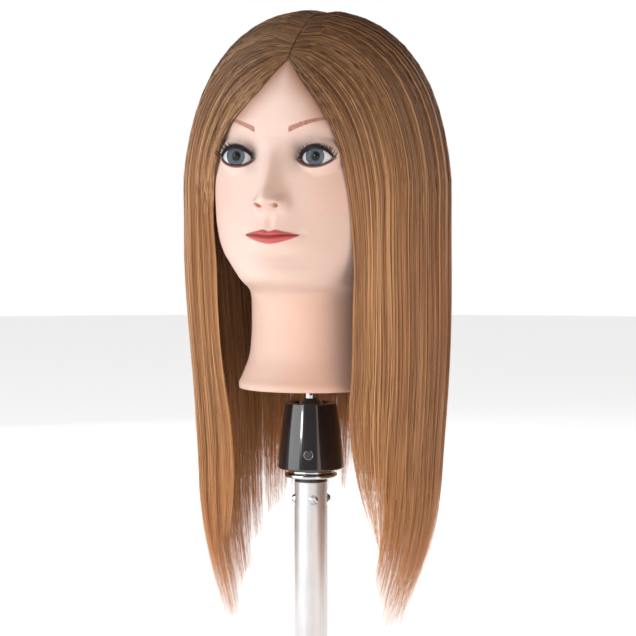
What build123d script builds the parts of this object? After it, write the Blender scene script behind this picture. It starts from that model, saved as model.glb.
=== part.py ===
"""Mannequin training head on a quick-release ball holder.

The object is a life-size hairdressing head: a hollow vinyl shell with set-in eyes and long
straight hair parted near the middle.  It is carried by a steel stud on a ball joint.  A spring
holds a conical sleeve up, which wedges the jaws of the post against the ball; pulling the sleeve
down frees the head.  The post is screwed into the top of an aluminium column.

Millimetres.  +Z is up, the face looks along -Y, and the origin is the centre of the column's
lower end.
"""

import math
import os

from build123d import *

os.makedirs("parts", exist_ok=True)

# ---------------------------------------------------------------- column and post
column_length = 158.0
column_radius = 13.5
column_wall = 1.5
column_bore = column_radius - column_wall
slip = 0.05  # radial clearance of a part that is pushed into another

plug_depth = 35.0  # how far the post reaches into the column
post_radius = 11.0
plug_step = 0.5  # the plug ends this far below the column's top
column_chamfer = 0.4
waist_base = 138.0  # above it, round the screws, the column is turned down a little
waist_radius = column_radius - 0.3
bush_radius, bush_height, bush_edge = 13.2, 3.4, 0.3
flange_radius, flange_height, flange_edge = 21.2, 3.4, 1.6
seat_radius, seat_height, seat_edge = 18.4, 2.6, 0.9
bush_base = column_length
flange_base = bush_base + bush_height
seat_base = flange_base + flange_height
seat_top = seat_base + seat_height

screw_height, screw_count = 144.0, 4  # the button screws through the column
screw_first_angle = 28.0  # from -Y towards +X
screw_shank, screw_head, screw_head_height, screw_reach = 2.0, 3.9, 2.3, 3.6
screw_socket, screw_socket_depth = 1.45, 1.3
screw_end_gap = 0.5  # between a screw's tip and the bottom of its hole
screw_crown = 0.55  # the flat on a screw's head, as a share of the head

# ---------------------------------------------------------------- ball joint
ball_radius, ball_height = 11.5, 215.0
ball_gap = 0.06
jaw_base, jaw_top = 203.0, ball_height + 3.8
jaw_low_radius, jaw_high_radius = 12.3, 13.1
jaw_slot = 1.2
pad_radius, pad_base = 7.7, 200.8
pad_bore = pad_radius + 0.1
washer_base, washer_height, washer_bore = 199.0, 1.7, 3.0
washer_thickness = 0.9

# ---------------------------------------------------------------- release sleeve
sleeve_base, sleeve_top = 168.4, 221.5
sleeve_low_radius, sleeve_high_radius = 26.5, 20.5
sleeve_belly = 0.7  # how far the side stands out of a straight cone
sleeve_low_edge, sleeve_high_edge = 1.3, 0.9
sleeve_mouth = 13.6
liner_radius, liner_base, liner_top = 17.5, 177.0, 217.0
skirt_radius, skirt_depth = 22.0, 7.6  # room for the rings when the sleeve is down
spring_chamber, spring_shoulder = 15.5, 198.0
wedge_gap = 0.1  # between the liner's cone and the jaws
spring_radius, spring_wire, spring_turns = 13.7, 0.9, 5.5
key_height, key_angle = 181.6, 14.0  # the round key screw in the sleeve's side
key_head, key_shank = 3.2, 2.0
key_tip, key_floor, key_face = 16.2, 21.9, 25.0  # distances from the column's axis
key_socket = 1.3

# ---------------------------------------------------------------- stud and neck socket
stud_radius, stud_top, stud_chamfer = 5.8, 289.0, 0.8
stud_end_gap = 0.5  # above the stud in its socket
stud_foot = ball_height + 6.0
stud_pin_radius, stud_pin_height, stud_pin_angle = 1.2, 228.6, 20.0
stud_pin_inset = 0.3  # the cross pin's ends lie this far inside the stud
neck_base, neck_floor = 234.0, 4.0
socket_radius, socket_top = 9.0, 293.0
socket_flange, socket_flange_height = 26.0, 3.0
socket_screw_circle, socket_screw_radius, socket_screw_count = 20.0, 1.5, 3
socket_screw_head = 1.6

# ---------------------------------------------------------------- head
shell_wall = 3.5
# height, centre y, half width, half depth
head_sections = [
    (neck_base, 2.0, 59.0, 62.0),
    (244.0, 4.0, 56.0, 58.5),
    (262.0, 8.0, 50.5, 54.0),
    (285.0, 9.0, 49.0, 53.5),
    (304.0, 7.0, 49.0, 55.0),
    (320.0, 0.0, 51.0, 78.0),
    (340.0, 0.0, 63.0, 88.0),
    (365.0, 3.0, 72.5, 92.0),
    (392.0, 6.0, 75.0, 95.0),
    (420.0, 8.0, 75.0, 97.0),
    (450.0, 9.0, 74.0, 96.5),
    (476.0, 10.0, 71.0, 90.0),
    (498.0, 11.0, 60.0, 75.0),
    (512.0, 11.0, 44.0, 55.0),
    (521.0, 11.0, 24.0, 30.0),
    (524.0, 11.0, 7.0, 9.0),
]
skull_top = head_sections[-1][0]
nose_sections = [
    (373.0, -82.0, 5.0, 8.0),
    (379.0, -84.0, 14.0, 17.0),
    (386.5, -84.0, 11.5, 22.0),
    (400.0, -82.0, 8.5, 16.0),
    (418.0, -80.0, 6.5, 9.5),
]
ear_centre = (73.0, 14.0, 412.0)
ear_size = (9.0, 17.0, 30.0)
eye_spread, eye_y, eye_height = 32.5, -66.0, 418.0
eye_radius, eye_gap = 15.5, 0.3
iris_radius, iris_thickness, iris_recess = 7.4, 0.6, 2.6
cornea_radius, cornea_forward = 9.0, 7.3
cup_wall, cup_back = 1.5, 3.0
lash_inner, lash_outer, lash_thickness, lash_rise = 16.4, 21.0, 0.6, 7.0

# ---------------------------------------------------------------- hair
hair_gap = 0.4
crown_base = 404.0  # above it the hair lies on the skull
length_base = 150.0  # between the two it hangs beside the face and neck
side_tip, back_tip = 62.0, 110.0
hair_outer = [
    (side_tip, 12.0, 72.0, 76.0),
    (95.0, 18.0, 83.0, 88.0),
    (133.0, 22.0, 92.0, 98.0),
    (190.0, 25.0, 99.0, 105.0),
    (250.0, 25.0, 103.0, 109.0),
    (335.0, 18.0, 106.0, 114.0),
    (crown_base, 17.0, 106.0, 114.0),
    (440.0, 18.0, 100.5, 108.0),
    (469.0, 20.0, 92.0, 99.0),
    (488.0, 20.0, 83.0, 90.0),
    (507.0, 20.0, 69.0, 75.0),
    (519.0, 20.0, 55.0, 60.0),
    (529.0, 20.0, 37.0, 41.0),
    (535.0, 20.0, 12.0, 14.0),
]
hair_thickness = 20.0
hair_join = 0.2  # degrees between two neighbouring lengths
hanging_rows = 7  # the rows of hair_outer that the hanging hair spans
parting_x, parting_gap = 8.0, 0.3
front_left, front_right = 44.0, -54.0  # angles of the curtains' front edges, from -Y
back_half = 62.0  # the back length spans this much each side of +Y
# the edge of the hair round the face, as x and z
hairline = [
    (-62, 390), (-58, 412), (-53, 428), (-36, 446), (-12, 468),
    (11, 495), (30, 468), (43, 446), (54, 426), (57, 390),
]
hairline_back = 30.0  # the face opening reaches back to this distance in front of the axis
far = 300.0

ball_centre = (0, 0, ball_height)
screw_angles = [screw_first_angle + 360 * i / screw_count for i in range(screw_count)]


def lofted(sections, grow=0.0):
    """A closed solid through ellipses, each grown on both half axes."""
    with BuildPart() as body:
        for height, centre, half_width, half_depth in sections:
            with BuildSketch(Plane.XY.offset(height)):
                with Locations((0, centre)):
                    Ellipse(half_width + grow, half_depth + grow)
        loft()
    return body.part


def slab(low, high):
    """Everything between two heights."""
    with BuildPart() as block:
        with BuildSketch(Plane.XY.offset(low)):
            Rectangle(2 * far, 2 * far)
        extrude(amount=high - low)
    return block.part


def sector(start, end):
    """Everything between two angles about the column's axis, from -Y towards +X."""
    steps = [start + (end - start) * i / 4 for i in range(5)]
    rim = [(far * math.sin(math.radians(a)), -far * math.cos(math.radians(a))) for a in steps]
    with BuildPart() as wedge:
        with BuildSketch(Plane.XY):
            with BuildLine():
                Polyline((0, 0), *rim, close=True)
            make_face()
        extrude(amount=2 * far)
    return wedge.part


def radial(angle, height):
    """A plane through the column's axis whose normal points outwards at an angle from -Y."""
    turn = math.radians(angle)
    return Plane((0, 0, height), x_dir=(0, 0, 1), z_dir=(math.sin(turn), -math.cos(turn), 0))


# ================================================================ holder


def make_ring(name, outer, low, height, edge):
    """A flat ring round the post with its outer edges rounded."""
    with BuildPart() as ring:
        with BuildSketch(Plane.XY.offset(low)):
            Circle(outer)
            Circle(post_radius + slip, mode=Mode.SUBTRACT)
        extrude(amount=height)
        fillet(ring.edges().filter_by(GeomType.CIRCLE).group_by(SortBy.RADIUS)[-1], edge)
    ring.part.label = name
    export_step(ring.part, f"parts/{name}.step")


def make_column():
    """The aluminium tube, open below, with four clearance holes near its top."""
    with BuildPart() as column:
        with BuildSketch():
            Circle(column_radius)
            Circle(column_bore, mode=Mode.SUBTRACT)
        extrude(amount=column_length)
        with BuildSketch(Plane.XY.offset(waist_base)):
            Circle(2 * column_radius)
            Circle(waist_radius, mode=Mode.SUBTRACT)
        extrude(amount=column_length - waist_base, mode=Mode.SUBTRACT)
        ends = column.edges().filter_by(GeomType.CIRCLE).group_by(Axis.Z)
        chamfer(ends[0] + ends[-1], column_chamfer)
        for angle in screw_angles:
            with BuildSketch(radial(angle, screw_height)):
                Circle(screw_shank + slip)
            extrude(amount=column_radius + 1, mode=Mode.SUBTRACT)
    column.part.label = "column_tube"
    export_step(column.part, "parts/column_tube.step")


def make_column_screws():
    """Four button-head screws with a hexagon socket, all in one node."""
    with BuildPart() as screws:
        for angle in screw_angles:
            out = radial(angle, screw_height)
            with BuildSketch(out.offset(waist_radius - screw_reach)):
                Circle(screw_shank)
            extrude(amount=screw_reach + slip)
            with BuildSketch(out.offset(waist_radius + slip)):
                Circle(screw_head)
            with BuildSketch(out.offset(waist_radius + slip + screw_head_height)):
                Circle(screw_crown * screw_head)
            loft()
            with BuildSketch(out.offset(waist_radius + slip + screw_head_height)):
                RegularPolygon(screw_socket, 6)
            extrude(amount=-screw_socket_depth, mode=Mode.SUBTRACT)
    screws.part.label = "column_screws"
    export_step(screws.part, "parts/column_screws.step")


def make_post():
    """The turned post: a plug in the column, a shank, and slotted jaws round the ball."""
    with BuildPart() as post:
        with BuildSketch(Plane.XZ):
            with BuildLine():
                Polyline(
                    (0, column_length - plug_depth),
                    (column_bore - slip, column_length - plug_depth),
                    (column_bore - slip, column_length - plug_step),
                    (post_radius, column_length - plug_step),
                    (post_radius, jaw_base),
                    (jaw_low_radius, jaw_base),
                    (jaw_high_radius, jaw_top),
                    (0, jaw_top),
                    close=True,
                )
            make_face()
        revolve(axis=Axis.Z)
        with Locations(ball_centre):
            Sphere(ball_radius + ball_gap, mode=Mode.SUBTRACT)
        with BuildSketch(Plane.XY.offset(washer_base)):
            Circle(pad_bore)
        extrude(amount=ball_height - washer_base, mode=Mode.SUBTRACT)
        with BuildSketch(Plane.XY.offset(pad_base)):
            with PolarLocations(0, 2):
                Rectangle(4 * jaw_high_radius, jaw_slot)
            with PolarLocations(0, 2, start_angle=90):
                Rectangle(4 * jaw_high_radius, jaw_slot)
        extrude(amount=2 * ball_radius, mode=Mode.SUBTRACT)
        for angle in screw_angles:
            with BuildSketch(radial(angle, screw_height).offset(waist_radius - screw_reach - screw_end_gap)):
                Circle(screw_shank + slip)
            extrude(amount=screw_reach, mode=Mode.SUBTRACT)
    post.part.label = "jaw_post"
    export_step(post.part, "parts/jaw_post.step")


def make_pad():
    """The nylon pad under the ball, which turns with it, and the disc spring below the pad."""
    with BuildPart() as pad:
        with BuildSketch(Plane.XY.offset(pad_base)):
            Circle(pad_radius)
        extrude(amount=ball_height - pad_base - pad_radius)
        with Locations(ball_centre):
            Sphere(ball_radius + ball_gap, mode=Mode.SUBTRACT)
    pad.part.label = "friction_pad"
    export_step(pad.part, "parts/friction_pad.step")
    with BuildPart() as washer:
        with BuildSketch(Plane.XZ):
            with BuildLine():
                Polyline(
                    (washer_bore, washer_base + washer_height - washer_thickness),
                    (washer_bore, washer_base + washer_height),
                    (pad_radius, washer_base + washer_thickness),
                    (pad_radius, washer_base),
                    close=True,
                )
            make_face()
        revolve(axis=Axis.Z)
    washer.part.label = "disc_spring"
    export_step(washer.part, "parts/disc_spring.step")


def jaw_radius(height):
    """The outside radius of the jaws' cone at a height."""
    return jaw_low_radius + (jaw_high_radius - jaw_low_radius) * (height - jaw_base) / (jaw_top - jaw_base)


def sleeve_profile(inner):
    """The outline of the sleeve's outside with rounded rims, closed down a straight line."""
    middle = (sleeve_low_radius + sleeve_high_radius) / 2 + sleeve_belly
    low, high = sleeve_low_edge, sleeve_high_edge
    ThreePointArc(
        (sleeve_low_radius - low, sleeve_base),
        (sleeve_low_radius - 0.3 * low, sleeve_base + 0.3 * low),
        (sleeve_low_radius, sleeve_base + low),
    )
    ThreePointArc(
        (sleeve_low_radius, sleeve_base + low),
        (middle, (sleeve_base + sleeve_top) / 2),
        (sleeve_high_radius, sleeve_top - high),
    )
    ThreePointArc(
        (sleeve_high_radius, sleeve_top - high),
        (sleeve_high_radius - 0.3 * high, sleeve_top - 0.3 * high),
        (sleeve_high_radius - high, sleeve_top),
    )
    Polyline(
        (sleeve_high_radius - high, sleeve_top),
        (inner, sleeve_top),
        (inner, sleeve_base),
        (sleeve_low_radius - low, sleeve_base),
    )


def make_sleeve():
    """The black conical sleeve, its steel liner, its key screw and the spring inside."""
    with BuildPart() as sleeve:
        with BuildSketch(Plane.XZ):
            with BuildLine():
                sleeve_profile(sleeve_mouth)
            make_face()
        revolve(axis=Axis.Z)
        with BuildSketch(Plane.XY.offset(sleeve_base)):
            Circle(liner_radius + slip)
        extrude(amount=liner_top - sleeve_base, mode=Mode.SUBTRACT)
        with BuildSketch(Plane.XY.offset(sleeve_base)):
            Circle(skirt_radius)
        extrude(amount=skirt_depth, mode=Mode.SUBTRACT)
        out = radial(key_angle, key_height)
        with BuildSketch(out):
            Circle(key_shank + slip)
        extrude(amount=far / 4, mode=Mode.SUBTRACT)
        with BuildSketch(out.offset(key_floor)):
            Circle(key_head + slip)
        extrude(amount=far / 4, mode=Mode.SUBTRACT)
    sleeve.part.label = "release_sleeve"
    export_step(sleeve.part, "parts/release_sleeve.step")

    with BuildPart() as liner:
        with BuildSketch(Plane.XZ):
            with BuildLine():
                Polyline(
                    (spring_chamber, liner_base),
                    (liner_radius, liner_base),
                    (liner_radius, liner_top - slip),
                    (jaw_radius(liner_top) + wedge_gap, liner_top - slip),
                    (jaw_radius(spring_shoulder) + wedge_gap, spring_shoulder),
                    (spring_chamber, spring_shoulder),
                    close=True,
                )
            make_face()
        revolve(axis=Axis.Z)
        with BuildSketch(out):
            Circle(key_shank + slip)
        extrude(amount=far / 4, mode=Mode.SUBTRACT)
    liner.part.label = "sleeve_liner"
    export_step(liner.part, "parts/sleeve_liner.step")

    with BuildPart() as key:
        with BuildSketch(out.offset(key_tip)):
            Circle(key_shank)
        extrude(amount=key_floor + 1 - key_tip)
        with BuildSketch(out.offset(key_floor + slip)):
            Circle(key_head)
        extrude(amount=key_face - key_floor)
        with BuildSketch(out.offset(key_face)):
            RegularPolygon(key_socket, 6)
        extrude(amount=-key_socket, mode=Mode.SUBTRACT)
    key.part.label = "sleeve_key_screw"
    export_step(key.part, "parts/sleeve_key_screw.step")

    with BuildPart() as spring:
        length = spring_shoulder - seat_top - 2 * (spring_wire + slip)
        with BuildLine():
            coil = Helix(
                pitch=length / spring_turns,
                height=length,
                radius=spring_radius,
                center=(0, 0, seat_top + spring_wire + slip),
            )
        with BuildSketch(Plane(coil @ 0, z_dir=coil % 0)):
            Circle(spring_wire)
        sweep(path=coil, is_frenet=True)
    spring.part.label = "release_spring"
    export_step(spring.part, "parts/release_spring.step")


def make_ball_and_stud():
    """The ball, the stud that stands on it, and the pin across the stud."""
    with BuildPart() as ball:
        with Locations(ball_centre):
            Sphere(ball_radius)
    ball.part.label = "joint_ball"
    export_step(ball.part, "parts/joint_ball.step")

    across = radial(stud_pin_angle, stud_pin_height)
    with BuildPart() as stud:
        with BuildSketch(Plane.XY.offset(stud_foot)):
            Circle(stud_radius)
        extrude(amount=stud_top - stud_foot)
        chamfer(stud.faces().sort_by(Axis.Z)[-1].edges(), stud_chamfer)
        with Locations(ball_centre):
            Sphere(ball_radius + ball_gap, mode=Mode.SUBTRACT)
        with BuildSketch(across.offset(-2 * stud_radius)):
            Circle(stud_pin_radius + slip)
        extrude(amount=4 * stud_radius, mode=Mode.SUBTRACT)
    stud.part.label = "head_stud"
    export_step(stud.part, "parts/head_stud.step")

    with BuildPart() as pin:
        with BuildSketch(across.offset(-stud_radius + stud_pin_inset)):
            Circle(stud_pin_radius)
        extrude(amount=2 * (stud_radius - stud_pin_inset))
    pin.part.label = "stud_cross_pin"
    export_step(pin.part, "parts/stud_cross_pin.step")


# ================================================================ head


def head_solid(grow=0.0):
    """The head's outside with its nose and ears, as one solid."""
    with BuildPart() as head:
        add(lofted(head_sections, grow))
        add(lofted(nose_sections, grow))
        for side in (-1, 1):
            x, y, z = ear_centre
            ear = Plane((side * x, y, z), x_dir=(0, 1, 0), z_dir=(side, 0, 0))
            with BuildSketch(ear):
                Ellipse(ear_size[1] + grow, ear_size[2] + grow)
            with BuildSketch(ear.offset(ear_size[0] + grow)):
                Ellipse(0.7 * ear_size[1] + grow, 0.8 * ear_size[2] + grow)
            loft()
    return head.part


def eye_point(side, forward=0.0):
    """A point on an eye's axis, some distance in front of the eyeball's centre."""
    return (side * eye_spread, eye_y - forward, eye_height)


def make_shell():
    """The hollow vinyl head: skin, eye openings and a floor with a hole for the socket."""
    with BuildPart() as cavity:
        add(lofted(head_sections, -shell_wall))
        add(slab(neck_base + neck_floor, skull_top - shell_wall), mode=Mode.INTERSECT)
    with BuildPart() as shell:
        add(head_solid())
        add(cavity.part, mode=Mode.SUBTRACT)
        with Locations(eye_point(-1), eye_point(1)):
            Sphere(eye_radius + eye_gap + cup_wall + eye_gap, mode=Mode.SUBTRACT)
        with BuildSketch(Plane.XY.offset(neck_base)):
            Circle(socket_radius + slip)
            with PolarLocations(socket_screw_circle, socket_screw_count):
                Circle(socket_screw_radius + slip)
        extrude(amount=neck_floor, mode=Mode.SUBTRACT)
    shell.part.label = "head_shell"
    export_step(shell.part, "parts/head_shell.step")


def make_socket():
    """The flanged bush that takes the stud, and the screws that hold it to the floor."""
    with BuildPart() as socket:
        with BuildSketch(Plane.XY.offset(neck_base)):
            Circle(socket_radius)
        extrude(amount=socket_top - neck_base)
        with BuildSketch(Plane.XY.offset(neck_base + neck_floor + slip)):
            Circle(socket_flange)
        extrude(amount=socket_flange_height)
        with BuildSketch(Plane.XY.offset(neck_base)):
            Circle(stud_radius + slip)
        extrude(amount=stud_top + stud_end_gap - neck_base, mode=Mode.SUBTRACT)
        with BuildSketch(Plane.XY.offset(neck_base + neck_floor)):
            with PolarLocations(socket_screw_circle, socket_screw_count):
                Circle(socket_screw_radius + slip)
        extrude(amount=2 * socket_flange_height, mode=Mode.SUBTRACT)
    socket.part.label = "neck_socket"
    export_step(socket.part, "parts/neck_socket.step")

    with BuildPart() as screws:
        with BuildSketch(Plane.XY.offset(neck_base - slip)):
            with PolarLocations(socket_screw_circle, socket_screw_count):
                Circle(socket_screw_radius)
        extrude(amount=neck_floor + socket_flange_height + 1)
        with BuildSketch(Plane.XY.offset(neck_base - socket_screw_head)):
            with PolarLocations(socket_screw_circle, socket_screw_count):
                Circle(2 * socket_screw_radius)
        extrude(amount=socket_screw_head - slip)
        with BuildSketch(Plane.XY.offset(neck_base - socket_screw_head)):
            with PolarLocations(socket_screw_circle, socket_screw_count):
                Rectangle(socket_screw_radius / 3, 4 * socket_screw_radius)
        extrude(amount=socket_screw_head / 2, mode=Mode.SUBTRACT)
    screws.part.label = "socket_screws"
    export_step(screws.part, "parts/socket_screws.step")


def make_eye(side, name):
    """One eye: the white ball, the iris disc in its recess, the clear cornea and the cup."""
    front = Plane(eye_point(side), x_dir=(1, 0, 0), z_dir=(0, -1, 0))
    flat = eye_radius - iris_recess
    with BuildPart() as ball:
        with Locations(eye_point(side)):
            Sphere(eye_radius)
        with BuildSketch(front.offset(flat)):
            Circle(iris_radius)
        extrude(amount=eye_radius, mode=Mode.SUBTRACT)
    ball.part.label = f"{name}_eyeball"
    export_step(ball.part, f"parts/{name}_eyeball.step")

    with BuildPart() as iris:
        with BuildSketch(front.offset(flat + slip)):
            Circle(iris_radius - slip)
        extrude(amount=iris_thickness)
    iris.part.label = f"{name}_iris"
    export_step(iris.part, f"parts/{name}_iris.step")

    with BuildPart() as cornea:
        with Locations(eye_point(side, cornea_forward)):
            Sphere(cornea_radius)
        with BuildSketch(front.offset(flat + iris_thickness + 2 * slip)):
            Circle(iris_radius - slip)
        extrude(amount=eye_radius, mode=Mode.INTERSECT)
    cornea.part.label = f"{name}_cornea"
    export_step(cornea.part, f"parts/{name}_cornea.step")

    with BuildPart() as cup:
        with Locations(eye_point(side)):
            Sphere(eye_radius + eye_gap / 2 + cup_wall)
            Sphere(eye_radius + eye_gap / 2, mode=Mode.SUBTRACT)
        with BuildSketch(front.offset(-cup_back)):
            Circle(far)
        extrude(amount=eye_radius * 2, mode=Mode.SUBTRACT)
    cup.part.label = f"{name}_eye_cup"
    export_step(cup.part, f"parts/{name}_eye_cup.step")

    with BuildPart() as lash:
        x, y, z = eye_point(side)
        with BuildSketch(Plane.XY.offset(z + lash_rise)):
            with Locations((x, y)):
                Circle(lash_outer)
                Circle(lash_inner, mode=Mode.SUBTRACT)
            with Locations((x, y + lash_outer - lash_rise)):
                Rectangle(4 * lash_outer, 2 * lash_outer, mode=Mode.SUBTRACT)
        extrude(amount=lash_thickness)
        add(head_clear, mode=Mode.SUBTRACT)
    lash.part.label = f"{name}_lashes"
    export_step(lash.part, f"parts/{name}_lashes.step")


# ================================================================ hair


def make_crown():
    """The two halves of the hair that lie on the skull, with the parting between them."""
    with BuildPart() as face:
        with BuildSketch(Plane.XZ.offset(hairline_back)):
            with BuildLine():
                Polyline(*hairline, close=True)
            make_face()
        extrude(amount=far)
    halves = {"left": (1, Keep.TOP), "right": (-1, Keep.BOTTOM)}
    for name, (side, keep) in halves.items():
        with BuildPart() as crown:
            add(lofted(hair_outer))
            add(slab(crown_base, hair_outer[-1][0] + 1), mode=Mode.INTERSECT)
            add(head_clear, mode=Mode.SUBTRACT)
            add(face.part, mode=Mode.SUBTRACT)
            split(bisect_by=Plane.YZ.offset(parting_x + side * parting_gap / 2), keep=keep)
        crown.part.label = f"crown_hair_{name}"
        export_step(crown.part, f"parts/crown_hair_{name}.step")


def make_lengths():
    """The hair below the crown: three hanging lengths and the three tips under them."""
    with BuildPart() as curtain:
        add(lofted(hair_outer))
        add(lofted(hair_outer[:hanging_rows], -hair_thickness), mode=Mode.SUBTRACT)
    spans = {
        "left": (front_left, 180 - back_half - hair_join),
        "right": (-180 + back_half + hair_join, front_right),
        "back": (180 - back_half, 180 + back_half),
    }
    for name, (start, end) in spans.items():
        tip = back_tip if name == "back" else side_tip
        with BuildPart() as length:
            add(curtain.part)
            add(sector(start, end), mode=Mode.INTERSECT)
            add(slab(length_base, crown_base - hair_gap), mode=Mode.INTERSECT)
            add(head_clear, mode=Mode.SUBTRACT)
        length.part.label = f"hair_length_{name}"
        export_step(length.part, f"parts/hair_length_{name}.step")
        with BuildPart() as tips:
            add(curtain.part)
            add(sector(start, end), mode=Mode.INTERSECT)
            add(slab(tip, length_base - hair_gap), mode=Mode.INTERSECT)
        tips.part.label = f"hair_tips_{name}"
        export_step(tips.part, f"parts/hair_tips_{name}.step")


head_clear = head_solid(hair_gap)
make_column()
make_column_screws()
make_post()
make_ring("collar_bush", bush_radius, bush_base, bush_height, bush_edge)
make_ring("flange_ring", flange_radius, flange_base, flange_height, flange_edge)
make_ring("spring_seat", seat_radius, seat_base, seat_height, seat_edge)
make_pad()
make_sleeve()
make_ball_and_stud()
make_shell()
make_socket()
make_eye(-1, "right")
make_eye(1, "left")
make_crown()
make_lengths()
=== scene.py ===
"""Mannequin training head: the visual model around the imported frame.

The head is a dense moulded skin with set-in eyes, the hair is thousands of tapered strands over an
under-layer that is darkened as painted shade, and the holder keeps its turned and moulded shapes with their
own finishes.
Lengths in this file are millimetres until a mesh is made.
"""

import logging
import math
from dataclasses import dataclass, field
from enum import Enum

import bmesh
import bpy
import numpy as np
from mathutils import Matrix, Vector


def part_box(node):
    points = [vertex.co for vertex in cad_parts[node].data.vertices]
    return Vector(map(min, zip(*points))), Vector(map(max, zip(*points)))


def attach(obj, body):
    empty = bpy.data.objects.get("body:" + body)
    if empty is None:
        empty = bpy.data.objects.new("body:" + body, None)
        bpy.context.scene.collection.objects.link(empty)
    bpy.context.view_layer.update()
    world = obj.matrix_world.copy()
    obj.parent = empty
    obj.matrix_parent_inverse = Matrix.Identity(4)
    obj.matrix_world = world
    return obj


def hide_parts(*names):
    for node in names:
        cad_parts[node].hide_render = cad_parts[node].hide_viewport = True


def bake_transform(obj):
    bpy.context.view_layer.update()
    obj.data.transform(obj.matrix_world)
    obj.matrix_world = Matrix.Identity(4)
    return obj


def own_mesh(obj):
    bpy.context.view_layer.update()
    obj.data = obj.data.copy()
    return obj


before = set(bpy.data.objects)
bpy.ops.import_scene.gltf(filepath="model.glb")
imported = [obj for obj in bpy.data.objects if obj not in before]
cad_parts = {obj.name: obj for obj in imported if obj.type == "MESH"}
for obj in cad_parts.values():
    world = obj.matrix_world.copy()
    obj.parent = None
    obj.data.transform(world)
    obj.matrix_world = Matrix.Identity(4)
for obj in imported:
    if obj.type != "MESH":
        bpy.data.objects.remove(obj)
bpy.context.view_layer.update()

MM = 0.001
# where a Mix node keeps its two colours and its mixed colour
COLOUR_A, COLOUR_B, COLOUR_OUT = 6, 7, 2
Colour = tuple[float, float, float]
Material = bpy.types.Material
Piece = bpy.types.Object
Rows = list[tuple[float, ...]]
WHITE: Colour = (1.0, 1.0, 1.0)
log = logging.getLogger("training_head")


# ---------------------------------------------------------------- shader toolkit


class Field:
    """A number that varies over a surface, held as a node socket, with arithmetic."""

    def __init__(self, shader: "Shader", socket: bpy.types.NodeSocket) -> None:
        """Wraps a socket that belongs to a shader."""
        self.shader = shader
        self.socket = socket

    def _math(self, operation: str, *values: "float | Field") -> "Field":
        """Adds one Math node.

        Args:
            operation: the Math node's operation.
            values: its inputs in order, as numbers or fields.

        Returns:
            The node's result.
        """
        node = self.shader.node("ShaderNodeMath", {"operation": operation}, dict(enumerate(values)))
        return Field(self.shader, node.outputs[0])

    def __add__(self, other: "float | Field") -> "Field":
        """The sum."""
        return self._math("ADD", self, other)

    def __radd__(self, other: float) -> "Field":
        """The sum, with the number first."""
        return self._math("ADD", other, self)

    def __sub__(self, other: "float | Field") -> "Field":
        """The difference."""
        return self._math("SUBTRACT", self, other)

    def __rsub__(self, other: float) -> "Field":
        """The difference, with the number first."""
        return self._math("SUBTRACT", other, self)

    def __mul__(self, other: "float | Field") -> "Field":
        """The product."""
        return self._math("MULTIPLY", self, other)

    def __rmul__(self, other: float) -> "Field":
        """The product, with the number first."""
        return self._math("MULTIPLY", other, self)

    def step(self, low: float, high: float) -> "Field":
        """A smooth rise from 0 at low to 1 at high; low may be above high.

        Args:
            low: where the result is 0.
            high: where the result is 1.

        Returns:
            The eased field, between 0 and 1.
        """
        node = self.shader.node(
            "ShaderNodeMapRange",
            {"interpolation_type": "SMOOTHSTEP", "clamp": True},
            {"Value": self, "From Min": low, "From Max": high, "To Min": 0.0, "To Max": 1.0},
        )
        return Field(self.shader, node.outputs["Result"])


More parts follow.
